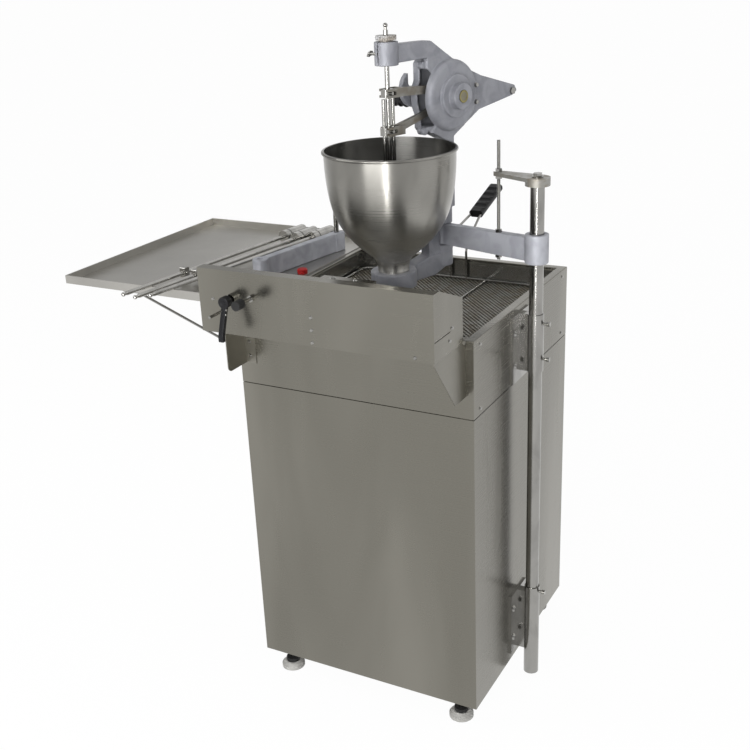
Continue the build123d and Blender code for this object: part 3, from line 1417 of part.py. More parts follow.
# Hopper: a spun bowl with a beaded rim and a short neck on the ring
inner_outline = [(radius - hopper_wall, height + hopper_wall / 3) for radius, height in hopper_outline]
wall_tops = (hopper_rim_height - hopper_bead_radius)
with BuildPart() as hopper:
    with BuildSketch(HEAD_SIDE):
        with BuildLine():
            outer = Spline(
                *hopper_outline,
                (hopper_neck_radius, hopper_neck_top),
                tangents=[(0, -1), (0, -1)],
            )
            Line(outer @ 1, (hopper_neck_radius, ring_top))
            Line((hopper_neck_radius, ring_top), (hopper_neck_radius - hopper_wall, ring_top))
            inner = Spline(
                *inner_outline,
                (hopper_neck_radius - hopper_wall, hopper_neck_top),
                tangents=[(0, -1), (0, -1)],
            )
            Line((hopper_neck_radius - hopper_wall, ring_top), inner @ 1)
            Polyline(inner @ 0, (hopper_outline[0][0] - hopper_wall, hopper_rim_height),
                     (hopper_outline[0][0], hopper_rim_height), outer @ 0)
        make_face()
        with Locations((hopper_outline[0][0] + hopper_bead_radius / 2, wall_tops)):
            Circle(hopper_bead_radius)
    revolve(axis=Axis(hopper_place, UP))
finish(hopper.part, "hopper")

# Deposit cylinder in the ring
with BuildPart() as deposit_cylinder:
    peg(HEAD_TOP.offset(cylinder_bottom), cylinder_radius, ring_top - cylinder_bottom)
    bore(HEAD_TOP.offset(ring_top), cylinder_bore, ring_top - cylinder_bottom + OVER)
finish(deposit_cylinder.part, "deposit_cylinder")

# Cutter: a sleeve in the cylinder, hung on two rods from a crosshead
cutter_top = cylinder_bottom + cutter_height
with BuildPart() as cutter_rods:
    peg(HEAD_TOP.offset(cylinder_bottom), cutter_radius, cutter_height)
    bore(HEAD_TOP.offset(cutter_top - spider_thick - OVER), cutter_bore, cutter_height)
    bore(HEAD_TOP.offset(cutter_top), plunger_rod_radius + rod_pass, cutter_height)
    for side in (-1, 1):
        bore(head_spot(0, side * cutter_rod_offset, cutter_top, UP), spider_window_radius, cutter_height / 2)
        peg(head_spot(side * cutter_rod_offset, 0, cutter_top - spider_thick, UP), cutter_rod_radius,
            cutter_rod_top - cutter_top + spider_thick)
    with BuildSketch(HEAD_TOP.offset(lower_link_height - crosshead_thick / 2)):
        RectangleRounded(cutter_crosshead_length, crosshead_depth, crosshead_depth / 4)
        Circle(plunger_rod_radius + rod_pass, mode=Mode.SUBTRACT)
    extrude(amount=crosshead_thick)
    for side in (-1, 1):
        pin_place = head_spot(0, side * crosshead_depth / 2, lower_link_height, near_dir * side)
        peg(pin_place, crosshead_pin_radius, crosshead_pin_reach)
finish(cutter_rods.part, "cutter_rods")

# Plunger: piston, rod, crosshead and a ball tip
with BuildPart() as plunger_rod:
    peg(HEAD_TOP.offset(piston_bottom), piston_radius, piston_height)
    rod_end = plunger_top - 2 * tip_radius - tip_neck_length
    peg(HEAD_TOP.offset(piston_bottom), plunger_rod_radius, rod_end - piston_bottom)
    peg(HEAD_TOP.offset(rod_end), tip_neck_radius, tip_neck_length + tip_radius)
    with Locations(HEAD_TOP.offset(plunger_top - tip_radius)):
        Sphere(tip_radius)
    with BuildSketch(HEAD_TOP.offset(upper_link_height - crosshead_thick / 2)):
        RectangleRounded(plunger_crosshead_length, crosshead_depth, crosshead_depth / 4)
    extrude(amount=crosshead_thick)
    for side in (-1, 1):
        pin_place = head_spot(0, side * crosshead_depth / 2, upper_link_height, near_dir * side)
        peg(pin_place, crosshead_pin_radius, crosshead_pin_reach)
finish(plunger_rod.part, "plunger_rod")

# Portion nut: a knurled nut on a neck in the clamp
with BuildPart() as portion_nut:
    nut_bottom = clamp_top + portion_nut_gap
    peg(HEAD_TOP.offset(clamp_bottom), portion_neck_radius, nut_bottom - clamp_bottom)
    with BuildSketch(HEAD_TOP.offset(nut_bottom)):
        Circle(portion_nut_radius)
        with PolarLocations(portion_nut_radius, knurl_count):
            Circle(knurl_radius, mode=Mode.SUBTRACT)
    extrude(amount=portion_nut_height)
    bore(HEAD_TOP.offset(nut_bottom + portion_nut_height), plunger_rod_radius + slide_fit,
         nut_bottom + portion_nut_height - clamp_bottom + OVER)
finish(portion_nut.part, "portion_nut")

with BuildPart() as wing_screw:
    far_face = -clamp_radius - wing_stand
    peg(head_spot(clamp_screw_s, far_face, clamp_screw_height, near_dir), wing_radius,
        wing_reach - far_face)
    with BuildSketch(HEAD_SIDE.offset(far_face - wing_height)):
        with Locations((clamp_screw_s, clamp_screw_height)):
            RectangleRounded(wing_length, wing_thick, wing_thick / 3, rotation=40)
            Circle(wing_radius + OVER)
    extrude(amount=wing_height)
finish(wing_screw.part, "wing_screw")

# Crank shaft with two heart-shaped cams, one for each link
CAM_SIDE = Plane(origin=head_spot(case_s, 0, case_height, near_dir).origin, x_dir=head_dir, z_dir=near_dir)


def cam_outline(low_angle, rise):
    """Points round a heart cam that rises evenly on both sides of its low place."""
    points = []
    for step in range(-cam_steps, cam_steps + 1):
        turn = pi * step / cam_steps
        share = min(abs(turn) / radians(crank_sweep), 1.0)
        radius = cam_low + rise * share
        angle = radians(low_angle) + turn
        points.append((radius * cos(angle), radius * sin(angle)))
    return points


def cam(plane, low_angle, rise):
    """One cam plate: two smooth flanks between its nose and its low place."""
    points = cam_outline(low_angle, rise)
    with BuildSketch(plane) as outline:
        with BuildLine():
            Spline(*points[:cam_steps + 1])
            Spline(*points[cam_steps:-1], points[0])
        make_face()
    extrude(outline.sketch, amount=link_thick)


arm_near_face = -case_depth - crank_arm_gap
with BuildPart() as crank_shaft:
    peg(CAM_SIDE.offset(arm_near_face - crank_arm_thick), shaft_radius,
        boss_reach - arm_near_face + crank_arm_thick)
    cam(CAM_SIDE.offset(link_inset), 90.0, plunger_cam_rise)
    cam(CAM_SIDE.offset(-link_inset - link_thick), 270.0, cutter_cam_rise)
finish(crank_shaft.part, "crank_shaft")

# Crank arm with a pointed horn, and its turning grip, on the far side
horn_corner = (crank_end_offset[0] - crank_horn_side, crank_end_offset[1] + crank_horn_base)
horn_cut = 3 * crank_end_radius
grip_s, grip_h = grip_offset
grip_place = CAM_SIDE.origin + head_dir * grip_s + Vector(0, 0, grip_h)
with BuildPart() as crank_arm:
    with BuildSketch(CAM_SIDE.offset(arm_near_face - crank_arm_thick)):
        Circle(crank_hub_radius)
        with Locations(crank_end_offset):
            Circle(crank_end_radius)
        make_hull()
        with Locations(horn_corner):
            RectangleRounded(horn_cut, horn_cut, crank_horn_round, align=(Align.MIN, Align.MIN),
                             mode=Mode.SUBTRACT)
    extrude(amount=crank_arm_thick)
    bore(CAM_SIDE.offset(arm_near_face), shaft_radius + slide_fit, crank_arm_thick + OVER)
    spindle = Plane(origin=grip_place, z_dir=-near_dir).offset(-arm_near_face)
    peg(spindle, crank_spindle_radius, crank_arm_thick + crank_grip_length)
finish(crank_arm.part, "crank_arm")

with BuildPart() as crank_grip:
    grip_base = spindle.offset(crank_arm_thick + rest_gap)
    lobe_length = crank_grip_length / crank_grip_lobes
    lobe_round = lobe_length * 0.42
    peg(grip_base, crank_grip_radius * 0.8, crank_grip_length)
    for step in range(crank_grip_lobes):
        with Locations(grip_base.offset(lobe_length * (step + 0.5))):
            Torus(crank_grip_radius - lobe_round, lobe_round)
    bore(grip_base.offset(crank_grip_length), crank_spindle_radius + slide_fit, crank_grip_length + OVER)
finish(crank_grip.part, "crank_grip")


# Links: forked at the rods, passing the cams and pinned together at the tail
def link(start, rods_height, outline):
    """One link: an eye on the tail bolt, a bent bar and a fork with open slots."""
    plate(HEAD_SIDE.offset(start), outline, link_thick)
    peg(head_spot(tail_s, start, tail_height, near_dir), link_eye_radius, link_thick)
    bore(head_spot(tail_s, start + link_thick, tail_height, near_dir), tail_bolt_radius + slide_fit,
         link_thick + OVER)
    prong_inner = crosshead_depth / 2 + fork_gap
    prong_outer = prong_inner + fork_prong
    fork_low = rods_height - fork_height / 2
    fork_high = rods_height + fork_height / 2
    root_end = fork_root_start + fork_root_length
    root = [
        (fork_root_start, fork_low),
        (root_end, fork_low),
        (root_end, fork_high),
        (fork_root_start, fork_high),
    ]
    prong = [
        (-fork_reach, fork_low),
        (root_end, fork_low),
        (root_end, fork_high),
        (-fork_reach, fork_high),
    ]
    plate(HEAD_SIDE.offset(-prong_outer), root, 2 * prong_outer)
    for prong_start in (-prong_outer, prong_inner):
        plate(HEAD_SIDE.offset(prong_start), prong, fork_prong)
    slot_end = fork_slot_end - fork_slot_height / 2
    slot_start = -fork_reach - fork_slot_height
    with BuildSketch(HEAD_SIDE.offset(-prong_outer - OVER)) as slot:
        with Locations(((slot_start + slot_end) / 2, rods_height)):
            SlotCenterToCenter(slot_end - slot_start, fork_slot_height)
    extrude(slot.sketch, amount=2 * (prong_outer + OVER), mode=Mode.SUBTRACT)


upper_flat = case_height + cam_low + cam_gap
lower_flat = case_height - cam_low - cam_gap
half_fork = fork_height / 2
with BuildPart() as upper_link:
    link(link_inset, upper_link_height, [
        (fork_root_start, upper_link_height + half_fork),
        (case_left + 6.0, upper_link_height + 3.5),
        (case_s, upper_flat + 17.5),
        (case_right + 15.0, case_height + 16.0),
        (tail_s, tail_height + link_eye_radius - 1.0),
        (tail_s, tail_height - link_eye_radius + 1.0),
        (case_right + 15.0, case_height + 1.0),
        (case_s + 26.0, upper_flat),
        (case_s - 26.0, upper_flat),
        (case_left + 6.0, upper_link_height - 13.5),
        (fork_root_start, upper_link_height - half_fork),
    ])
finish(upper_link.part, "upper_link")

with BuildPart() as lower_link:
    link(-link_inset - link_thick, lower_link_height, [
        (fork_root_start, lower_link_height + half_fork),
        (case_left + 1.0, lower_link_height + 26.0),
        (case_s - 26.0, lower_flat),
        (case_s + 26.0, lower_flat),
        (tail_s, tail_height + 6.0),
        (tail_s, tail_height - 6.0),
        (case_s + 26.0, lower_flat - 13.0),
        (case_s - 20.0, lower_flat - 14.0),
        (case_left + 1.0, lower_link_height + 12.0),
        (fork_root_start, lower_link_height - half_fork),
    ])
finish(lower_link.part, "lower_link")

# Service door in the back, with pin hinges and a bar handle
door_left = door_margin - door_overlap
door_right = cabinet_width - door_margin + door_overlap
door_low = base_z + door_bottom - door_overlap
door_high = base_z + door_top + door_overlap
door_face = cabinet_depth + door_gap + door_depth
hinge_x = door_left + hinge_block / 2
hinge_y = cabinet_depth + door_gap + door_depth / 2
handle_z = (door_low + door_high) / 2
handle_x = door_right - door_handle_inset
with BuildPart() as service_door:
    slab(door_left, door_right, cabinet_depth + door_gap, door_face, door_low, door_high)
    fillet(service_door.edges().filter_by(Axis.Z).sort_by(Axis.X)[:2], door_depth / 2 - rest_gap)
    slab(door_left + hinge_block, door_right - sheet, cabinet_depth, door_face - sheet,
         door_low + sheet, door_high - sheet, Mode.SUBTRACT)
    bore(spot(hinge_x, hinge_y, door_high, UP), hinge_pin_radius + slide_fit, hinge_block_height)
    bore(spot(hinge_x, hinge_y, door_low, DOWN), hinge_pin_radius + slide_fit, hinge_block_height)
    for side in (-1, 1):
        bore(spot(handle_x, door_face, handle_z + side * door_handle_length / 2, BACK),
             screw_radius + slide_fit, 2 * sheet)
finish(service_door.part, "service_door")

with BuildPart() as door_hinges:
    for level, normal, sign in ((door_high + rest_gap, UP, 1), (door_low - rest_gap, DOWN, -1)):
        low = min(level, level + sign * hinge_block_height)
        slab(hinge_x - hinge_block / 2, hinge_x + hinge_block / 2, cabinet_depth,
             hinge_y + door_depth / 2, low, low + hinge_block_height)
        peg(spot(hinge_x, hinge_y, level - sign * (hinge_block_height - OVER), normal), hinge_pin_radius,
            hinge_block_height)
finish(door_hinges.part, "door_hinges")

with BuildPart() as door_handle:
    handle_y = door_face + door_handle_stand
    half_handle = door_handle_length / 2
    handle_path = [
        (left_x + handle_x, front_y + door_face, handle_z - half_handle),
        (left_x + handle_x, front_y + handle_y, handle_z - half_handle),
        (left_x + handle_x, front_y + handle_y, handle_z + half_handle),
        (left_x + handle_x, front_y + door_face, handle_z + half_handle),
    ]
    with BuildLine() as handle_line:
        FilletPolyline(*handle_path, radius=2 * door_handle_radius)
    with BuildSketch(Plane(origin=handle_path[0], z_dir=BACK)):
        Circle(door_handle_radius)
    sweep(path=handle_line.wire())
    for side in (-1, 1):
        peg(spot(handle_x, door_face, handle_z + side * half_handle, FRONT), screw_radius, screw_grip)
finish(door_handle.part, "door_handle")

# Thermostat knob and cable gland, on the back of the housing
thermostat_z = deck_z - thermostat_drop
with BuildPart() as thermostat_knob:
    knob_start = spot(thermostat_x, cabinet_depth + rest_gap, thermostat_z, BACK)
    peg(knob_start, thermostat_radius, thermostat_height)
    fillet(thermostat_knob.edges().sort_by(Axis.Y)[-1], thermostat_height / 8)
    with Locations(knob_start):
        Cylinder(thermostat_shaft_radius, thermostat_shaft_length, align=FROM_TOP)
finish(thermostat_knob.part, "thermostat_knob")

with BuildPart() as cable_gland:
    gland_z = deck_z - gland_drop
    hexagon(spot(gland_x, cabinet_depth, gland_z, BACK), gland_flats, gland_length / 3)
    peg(spot(gland_x, cabinet_depth, gland_z, BACK), gland_radius, gland_length)
    peg(spot(gland_x, cabinet_depth, gland_z, FRONT), gland_radius, screw_grip)
    bore(spot(gland_x, cabinet_depth + gland_length, gland_z, BACK), gland_bore,
         gland_length + screw_grip + OVER)
finish(cable_gland.part, "cable_gland")
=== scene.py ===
"""Finishes and fine pieces for a floor-standing donut fryer with a hand-cranked batter depositor."""

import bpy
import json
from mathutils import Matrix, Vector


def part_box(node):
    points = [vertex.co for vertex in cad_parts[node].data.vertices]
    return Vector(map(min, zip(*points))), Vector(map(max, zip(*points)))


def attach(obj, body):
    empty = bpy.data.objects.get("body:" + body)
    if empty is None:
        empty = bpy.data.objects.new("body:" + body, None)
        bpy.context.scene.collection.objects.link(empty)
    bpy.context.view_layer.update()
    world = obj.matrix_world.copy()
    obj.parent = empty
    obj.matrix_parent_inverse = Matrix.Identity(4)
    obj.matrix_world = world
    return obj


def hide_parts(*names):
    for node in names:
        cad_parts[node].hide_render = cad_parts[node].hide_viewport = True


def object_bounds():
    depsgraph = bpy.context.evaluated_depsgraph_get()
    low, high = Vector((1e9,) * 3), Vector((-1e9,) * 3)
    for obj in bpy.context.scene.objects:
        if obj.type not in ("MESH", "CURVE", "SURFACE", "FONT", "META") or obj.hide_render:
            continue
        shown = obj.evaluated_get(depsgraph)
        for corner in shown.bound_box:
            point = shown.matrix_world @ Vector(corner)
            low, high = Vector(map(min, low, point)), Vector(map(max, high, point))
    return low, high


bl_info = {
    "name": "Donut Fryer Finishes",
    "version": (1, 0, 0),
    "blender": (4, 5, 0),
    "location": "View3D > Sidebar > Fryer",
    "description": "Dresses the fryer's solids in steel, cast and moulded finishes and adds its fine pieces",
    "category": "Object",
}

import json
import math

import bmesh
import bpy
from mathutils import Matrix, Vector

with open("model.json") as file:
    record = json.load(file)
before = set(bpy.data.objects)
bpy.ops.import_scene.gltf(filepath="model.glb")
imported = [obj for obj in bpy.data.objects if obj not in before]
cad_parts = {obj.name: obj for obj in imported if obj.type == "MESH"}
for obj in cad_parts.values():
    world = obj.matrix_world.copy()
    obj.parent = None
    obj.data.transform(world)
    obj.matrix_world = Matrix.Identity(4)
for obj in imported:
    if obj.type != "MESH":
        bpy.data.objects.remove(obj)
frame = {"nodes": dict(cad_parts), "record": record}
CAD_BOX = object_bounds()
NODES = frame["nodes"]
BODY_OF = {node: body for body, members in frame["record"]["behaviour"]["bodies"].items() for node in members}

# Pieces by finish
SHEET_NODES = (
    "lower_cabinet", "upper_housing", "front_guard", "service_door", "element_cover", "door_hinges",
)
POST_NODES = ("post", "upper_bracket", "lower_bracket")
SPARE_NODES = ("spare_plunger_a", "spare_plunger_b", "spare_plunger_c")
BRIGHT_NODES = (
    "plunger_rod", "cutter_rods", "pivot_pin", "extension_pin", "wall_fasteners", "guard_fasteners",
    "cover_screws", "set_screws", "stop_studs", "lever_bush", "hanger_bolt", "hanger_nuts", "arm_nuts",
    "wing_screw", "foot_stems", "screen_frame", "tray_braces", "door_handle",
)
HEAD_NODES = ("depositor_frame", "cam_cover", "crank_arm")
ARM_NODES = ("swing_arm", "extension_arm")

# Rounded copies: smoothing passes and the share of faces that is kept
CAST_PASSES = 9
CAST_FACES_KEPT = 0.35
MOULDED_PASSES = 4
MOULDED_FACES_KEPT = 0.5

# Lever pins in metres: each one's place behind the lever's middle and below the shaft's axis,
# how far to the right of the bush's middle they start, and their length
PIN_PLACES = ((0.0035, 0.0145), (0.0010, 0.0235))
PIN_START = 0.0030
PIN_LENGTH = 0.0040

# Fry screen: width of the lower strands as a share of the upper ones
LOWER_STRAND_SHARE = 0.6

# Reach of a surface's normal towards the hopper's axis, in metres, over which outside blends into inside
FACING_EDGE = 0.002

# Lamps: place in metres and power in watts
KEY_LAMP = ((1.9, 0.4, 3.4), 6.0)
FILL_LAMP = ((-2.4, -1.6, 3.0), 34.0)
FRONT_LAMP = ((0.3, -3.6, 1.6), 85.0)
STRIP_LAMP = ((1.20, -2.80, 1.15), 30.0)
LAMP_DEPTH_SHARE = 0.6

# Floor: half its side in metres, and the share of its white glow in the picture
FLOOR_HALF = 40.0
FLOOR_GLOW = 0.965

# Sky: brightness in front, what the left side loses, and brightness between the cards
SKY_FRONT = 0.46
SKY_LEFT_LOSS = 0.65
SKY_GAP = 0.60

# Camera: place in metres, turns in degrees, lens and film in millimetres
CAMERA_PLACE = (1.30925, -2.1613, 1.6812)
CAMERA_HEADING = 28.86
CAMERA_PITCH = 21.64
CAMERA_ROLL = -2.48
CAMERA_LENS = 53.16
CAMERA_FILM = 36.0


def colour_setting(name, description, default):
    """A colour that the user can change, as linear red, green and blue."""
    return bpy.props.FloatVectorProperty(
        name=name, description=description, default=default, subtype="COLOR", size=3, min=0.0, max=1.0
    )


def size_setting(name, description, default):
    """A length that the user can change, in metres."""
    return bpy.props.FloatProperty(
        name=name, description=description, default=default, subtype="DISTANCE", unit="LENGTH", min=0.0001
    )


class FryerSizes(bpy.types.PropertyGroup):
    """Sizes of the fine pieces"""

    mesh_pitch: size_setting("Mesh pitch", "Distance between the fry screen's strands", 0.0083)
    mesh_strand: size_setting("Mesh strand", "Width of the fry screen's upper strands", 0.0030)
    thread_pitch: size_setting("Thread pitch", "Rise of one turn of the threaded rod", 0.0020)
    thread_depth: size_setting("Thread depth", "Depth of the rod's thread", 0.0009)
    cast_grid: size_setting("Casting grid", "Grid on which the castings' edges are rounded", 0.0013)
    moulded_grid: size_setting("Moulding grid", "Grid on which the moulded pieces' edges are rounded", 0.0009)
    lever_pin_radius: size_setting("Lever pin radius", "Radius of the bright pins in the lever's hub", 0.0026)
    lamp_width: size_setting("Lamp width", "Width of the soft lamps", 2.4)
    strip_width: size_setting("Strip lamp width", "Width of the upright strip lamp", 0.10)
    strip_height: size_setting("Strip lamp height", "Height of the upright strip lamp", 2.2)


class FryerColours(bpy.types.PropertyGroup):
    """Colours of the finishes"""

    sheet: colour_setting("Sheet steel", "Satin stainless sheet", (0.245, 0.235, 0.205))
    sheet_dark: colour_setting("Sheet steel shade", "Clouded stretches of the sheet", (0.188, 0.180, 0.155))
    # Painted light: the tray's sheet is painted about twice as pale as the other sheet, to make up for the
    # darker sky it reflects
    tray: colour_setting("Tray", "Cleaner sheet of the tray", (0.470, 0.458, 0.428))
    hopper: colour_setting("Hopper", "Outside of the spun hopper", (0.290, 0.282, 0.260))
    hopper_inside: colour_setting("Hopper inside", "Inside of the hopper", (0.260, 0.256, 0.242))
    bright: colour_setting("Bright steel", "Turned and polished steel", (0.330, 0.324, 0.308))
    cast: colour_setting("Casting", "Cast aluminium", (0.276, 0.281, 0.306))
    cast_dark: colour_setting("Casting shade", "Darker blotches of the castings", (0.216, 0.220, 0.244))
    # Painted light: the two arms get a copy of the cast colours painted 1.4 times paler, to lighten the shade
    # on them
    arm: colour_setting("Arms", "Paler cast aluminium of the two arms", (0.386, 0.393, 0.428))
    arm_dark: colour_setting("Arm shade", "Darker blotches of the arms", (0.302, 0.308, 0.342))
    link: colour_setting("Links", "Flat steel of the links", (0.230, 0.224, 0.205))
    dark: colour_setting("Dark steel", "Heated and oiled steel", (0.085, 0.083, 0.080))
    # Painted light: the tank's inside is painted nearly twice as pale as the other sheet, to lighten the
    # shade inside the tank
    tank: colour_setting("Tank steel", "Inside of the fry tank", (0.470, 0.464, 0.440))
    zinc: colour_setting("Zinc", "Plated threaded rod", (0.430, 0.425, 0.405))
    nut: colour_setting("Knurled nut", "Grey nut that sets the portion", (0.330, 0.330, 0.332))
    brass: colour_setting("Brass", "Shaft bush", (0.300, 0.265, 0.125))
    oiled: colour_setting("Oiled steel", "Crank shaft", (0.240, 0.230, 0.180))
    hanger: colour_setting("Hanger", "Flat hanger on the post", (0.300, 0.297, 0.280))
    mesh: colour_setting("Mesh", "Strands of the fry screen", (0.310, 0.305, 0.276))
    plastic: colour_setting("Black plastic", "Moulded grips and the lever", (0.008, 0.008, 0.009))
    rubber: colour_setting("Black rubber", "Bumper sleeve and foot rings", (0.016, 0.016, 0.016))
    foot: colour_setting("Foot grey", "Moulded foot pads", (0.330, 0.325, 0.310))
    red: colour_setting("Red plastic", "Tray knob", (0.350, 0.012, 0.012))
    floor: colour_setting("Floor", "Plain pale floor", (0.900, 0.900, 0.900))


# Shader building


class Wire:
    """A node's output in Python expressions: each operation adds one Math node."""

    def __init__(self, shading, socket):
        self.shading = shading
        self.socket = socket

    def math(self, operation, first, second=0.0):
        return self.shading.node("ShaderNodeMath", {"operation": operation}, {0: first, 1: second})

    def __add__(self, other):
        return self.math("ADD", self, other)

    __radd__ = __add__

    def __mul__(self, other):
        return self.math("MULTIPLY", self, other)

    __rmul__ = __mul__

    def __sub__(self, other):
        return self.math("SUBTRACT", self, other)

    def __rsub__(self, other):
        return self.math("SUBTRACT", other, self)

    def __abs__(self):
        return self.math("ABSOLUTE", self)


class Shading:
    """A shader tree and the nodes that are added to it."""

    def __init__(self, tree, coordinates):
        self.tree = tree
        self.coordinates = coordinates

    def node(self, kind, settings=None, sockets=None, out=0):
        """Makes any node: its settings first, then the values or links of its sockets."""
        made = self.tree.nodes.new(kind)
        for setting, value in (settings or {}).items():
            setattr(made, setting, value)
        for socket, value in (sockets or {}).items():
            self.join(made.inputs[socket], value)
        return Wire(self, made.outputs[out])

    def join(self, socket, value):
        if isinstance(value, Wire):
            self.tree.links.new(value.socket, socket)
        else:
            socket.default_value = value

    def place(self, scale):
        """Coordinates stretched by a scale: metres on a piece, directions in the sky."""
        where = self.node("ShaderNodeTexCoord", out=self.coordinates)
        return self.node("ShaderNodeMapping", None, {"Vector": where, "Scale": scale})

    def noise(self, scale, detail=2.0, distortion=0.0):
        """Smooth noise whose scale is in waves per metre along X, Y and Z."""
        sockets = {"Vector": self.place(scale), "Scale": 1.0, "Detail": detail, "Distortion": distortion}
        return self.node("ShaderNodeTexNoise", None, sockets, "Fac")

    def spread(self, value, low, high):
        """Stretches the middle of a noise to the whole range from 0 to 1."""
        sockets = {"Value": value, "From Min": low, "From Max": high}
        return self.node("ShaderNodeMapRange", {"interpolation_type": "SMOOTHSTEP"}, sockets)


class Finish(Shading):
    """One procedural material and the nodes that feed its shader."""

    def __init__(self, name, constants):
        self.material = bpy.data.materials.new(name)
        self.material.use_nodes = True
        super().__init__(self.material.node_tree, "Object")
        self.shader = self.tree.nodes["Principled BSDF"]
        for socket, value in constants.items():
            self.shader.inputs[socket].default_value = value

    def feed(self, socket, value):
        self.join(self.shader.inputs[socket], value)

    def blend(self, share, first, second):
        """A colour between two linked ones."""
        return self.node("ShaderNodeMix", {"data_type": "RGBA"}, {0: share, 6: first, 7: second}, 2)

    def tint(self, share, first, second):
        """A colour between two fixed ones."""
        return self.blend(share, tuple(first) + (1.0,), tuple(second) + (1.0,))

    def facing_in(self, axis):
        """1 where a surface faces the upright line through a point, and 0 where it faces away."""
        where = self.node("ShaderNodeTexCoord", out="Object")
        kind = "ShaderNodeVectorMath"
        inward = self.node(kind, {"operation": "SUBTRACT"}, {0: tuple(axis), 1: where})
        level = self.node(kind, {"operation": "MULTIPLY"}, {0: inward, 1: (1.0, 1.0, 0.0)})
        normal = self.node("ShaderNodeTexCoord", out="Normal")
        along = self.node(kind, {"operation": "DOT_PRODUCT"}, {0: level, 1: normal}, "Value")
        return self.spread(along, -FACING_EDGE, FACING_EDGE)

    def lying(self):
        """1 on level faces and 0 on upright ones."""
        normal = self.node("ShaderNodeNewGeometry", None, None, "Normal")
        return abs(self.node("ShaderNodeSeparateXYZ", None, {"Vector": normal}, "Z"))

    def relief(self, height, depth, strength=1.0):
        """Bumps of a given depth in metres."""
        sockets = {"Height": height, "Distance": depth, "Strength": strength}
        self.feed("Normal", self.node("ShaderNodeBump", None, sockets))


def scaled(colour, factor):
    """A colour made lighter or darker."""
    return tuple(factor * part for part in colour)


def even(waves):
    """The same scale along X, Y and Z."""
    return (waves, waves, waves)


def satin_sheet(name, light, shade, grain_depth, dullness=0.15):
    """Stainless sheet with a fine rolled grain, soft clouds and faint wipe marks."""
    finish = Finish(name, {"Metallic": 1.0})
    along, across = 5.0, 1100.0
    upright_grain = finish.noise((along, along, across))
    level_grain = finish.noise((along, across, along))
    lying = finish.lying()
    grain = upright_grain * (1.0 - lying) + level_grain * lying
    cloud = finish.spread(finish.noise((3.4, 3.4, 0.7), 3.0, 0.6), 0.32, 0.70)
    wipes = finish.spread(finish.noise((14.0, 14.0, 3.0), 4.0, 1.4), 0.52, 0.74)
    finish.feed("Base Color", finish.tint(cloud, light, shade))
    finish.feed("Roughness", dullness + 0.12 * grain + 0.05 * cloud + 0.05 * wipes)
    finish.relief(grain, grain_depth, 0.03)
    return finish.material


def spun_steel(name, outside, inside, low, high):
    """A bowl spun on a lathe: fine rings round its upright axis, a painted reflection that makes it paler
    towards the bottom, and darker inside.
    """
    finish = Finish(name, {"Metallic": 1.0, "Anisotropic": 0.8, "Anisotropic Rotation": 0.25})
    rings = finish.noise((1.5, 1.5, 1500.0))
    cloud = finish.spread(finish.noise((9.0, 9.0, 5.0), 3.0, 0.4), 0.35, 0.70)
    where = finish.node("ShaderNodeTexCoord", out="Object")
    height = finish.node("ShaderNodeSeparateXYZ", None, {"Vector": where}, "Z")
    tall = high.z - low.z
    # Painted reflection: the lower part of the shell is painted up to 1.9 times paler, standing in for the
    # pale floor it reflects
    below = finish.spread(height, low.z + 0.72 * tall, low.z + 0.15 * tall)
    upper = finish.tint(cloud, outside, scaled(outside, 0.82))
    paler = scaled(outside, 1.9)
    lower = finish.tint(cloud, paler, scaled(paler, 0.82))
    shell = finish.blend(below, upper, lower)
    bowl = finish.tint(cloud, inside, scaled(inside, 0.82))
    finish.feed("Base Color", finish.blend(finish.facing_in((low + high) / 2), shell, bowl))
    finish.feed("Roughness", 0.22 + 0.14 * rings + 0.04 * cloud)
    finish.relief(rings, 0.00012, 0.12)
    return finish.material


def bright_steel(name, colour, roughness):
    """Polished steel with fine scuffs."""
    finish = Finish(name, {"Metallic": 1.0})
    scuffs = finish.noise((420.0, 420.0, 90.0), 3.0)
    film = finish.spread(finish.noise((26.0, 26.0, 14.0), 3.0, 0.5), 0.38, 0.72)
    darker = scaled(colour, 0.80)
    finish.feed("Base Color", finish.tint(film, colour, darker))
    finish.feed("Roughness", roughness + 0.03 * scuffs + 0.06 * film)
    finish.relief(scuffs, 0.00001, 0.05)
    return finish.material


def cast_metal(name, light, shade):
    """Sand-cast aluminium, tumbled: fine pits, blotches and a dull sheen."""
    finish = Finish(name, {"Metallic": 0.25, "Specular IOR Level": 0.4})
    grit = finish.noise(even(900.0), 3.0)
    skin = finish.noise(even(160.0), 4.0, 0.3)
    blotch = finish.spread(finish.noise(even(24.0), 4.0, 0.8), 0.36, 0.68)
    finish.feed("Base Color", finish.tint(blotch, light, shade))
    finish.feed("Roughness", 0.40 + 0.10 * blotch + 0.14 * grit)
    finish.relief(0.7 * grit + 0.9 * skin, 0.0007, 0.55)
    return finish.material


def dull_steel(name, colour, metal, pitting=0.3):
    """Plain steel with heat and oil stains."""
    finish = Finish(name, {"Metallic": metal})
    stains = finish.spread(finish.noise(even(30.0), 4.0, 0.9), 0.35, 0.70)
    speckle = finish.noise(even(700.0), 2.0)
    warmer = (colour[0] * 0.78, colour[1] * 0.70, colour[2] * 0.60)
    finish.feed("Base Color", finish.tint(stains, colour, warmer))
    finish.feed("Roughness", 0.30 + 0.16 * stains + 0.10 * speckle)
    finish.relief(speckle, 0.0002, pitting)
    return finish.material


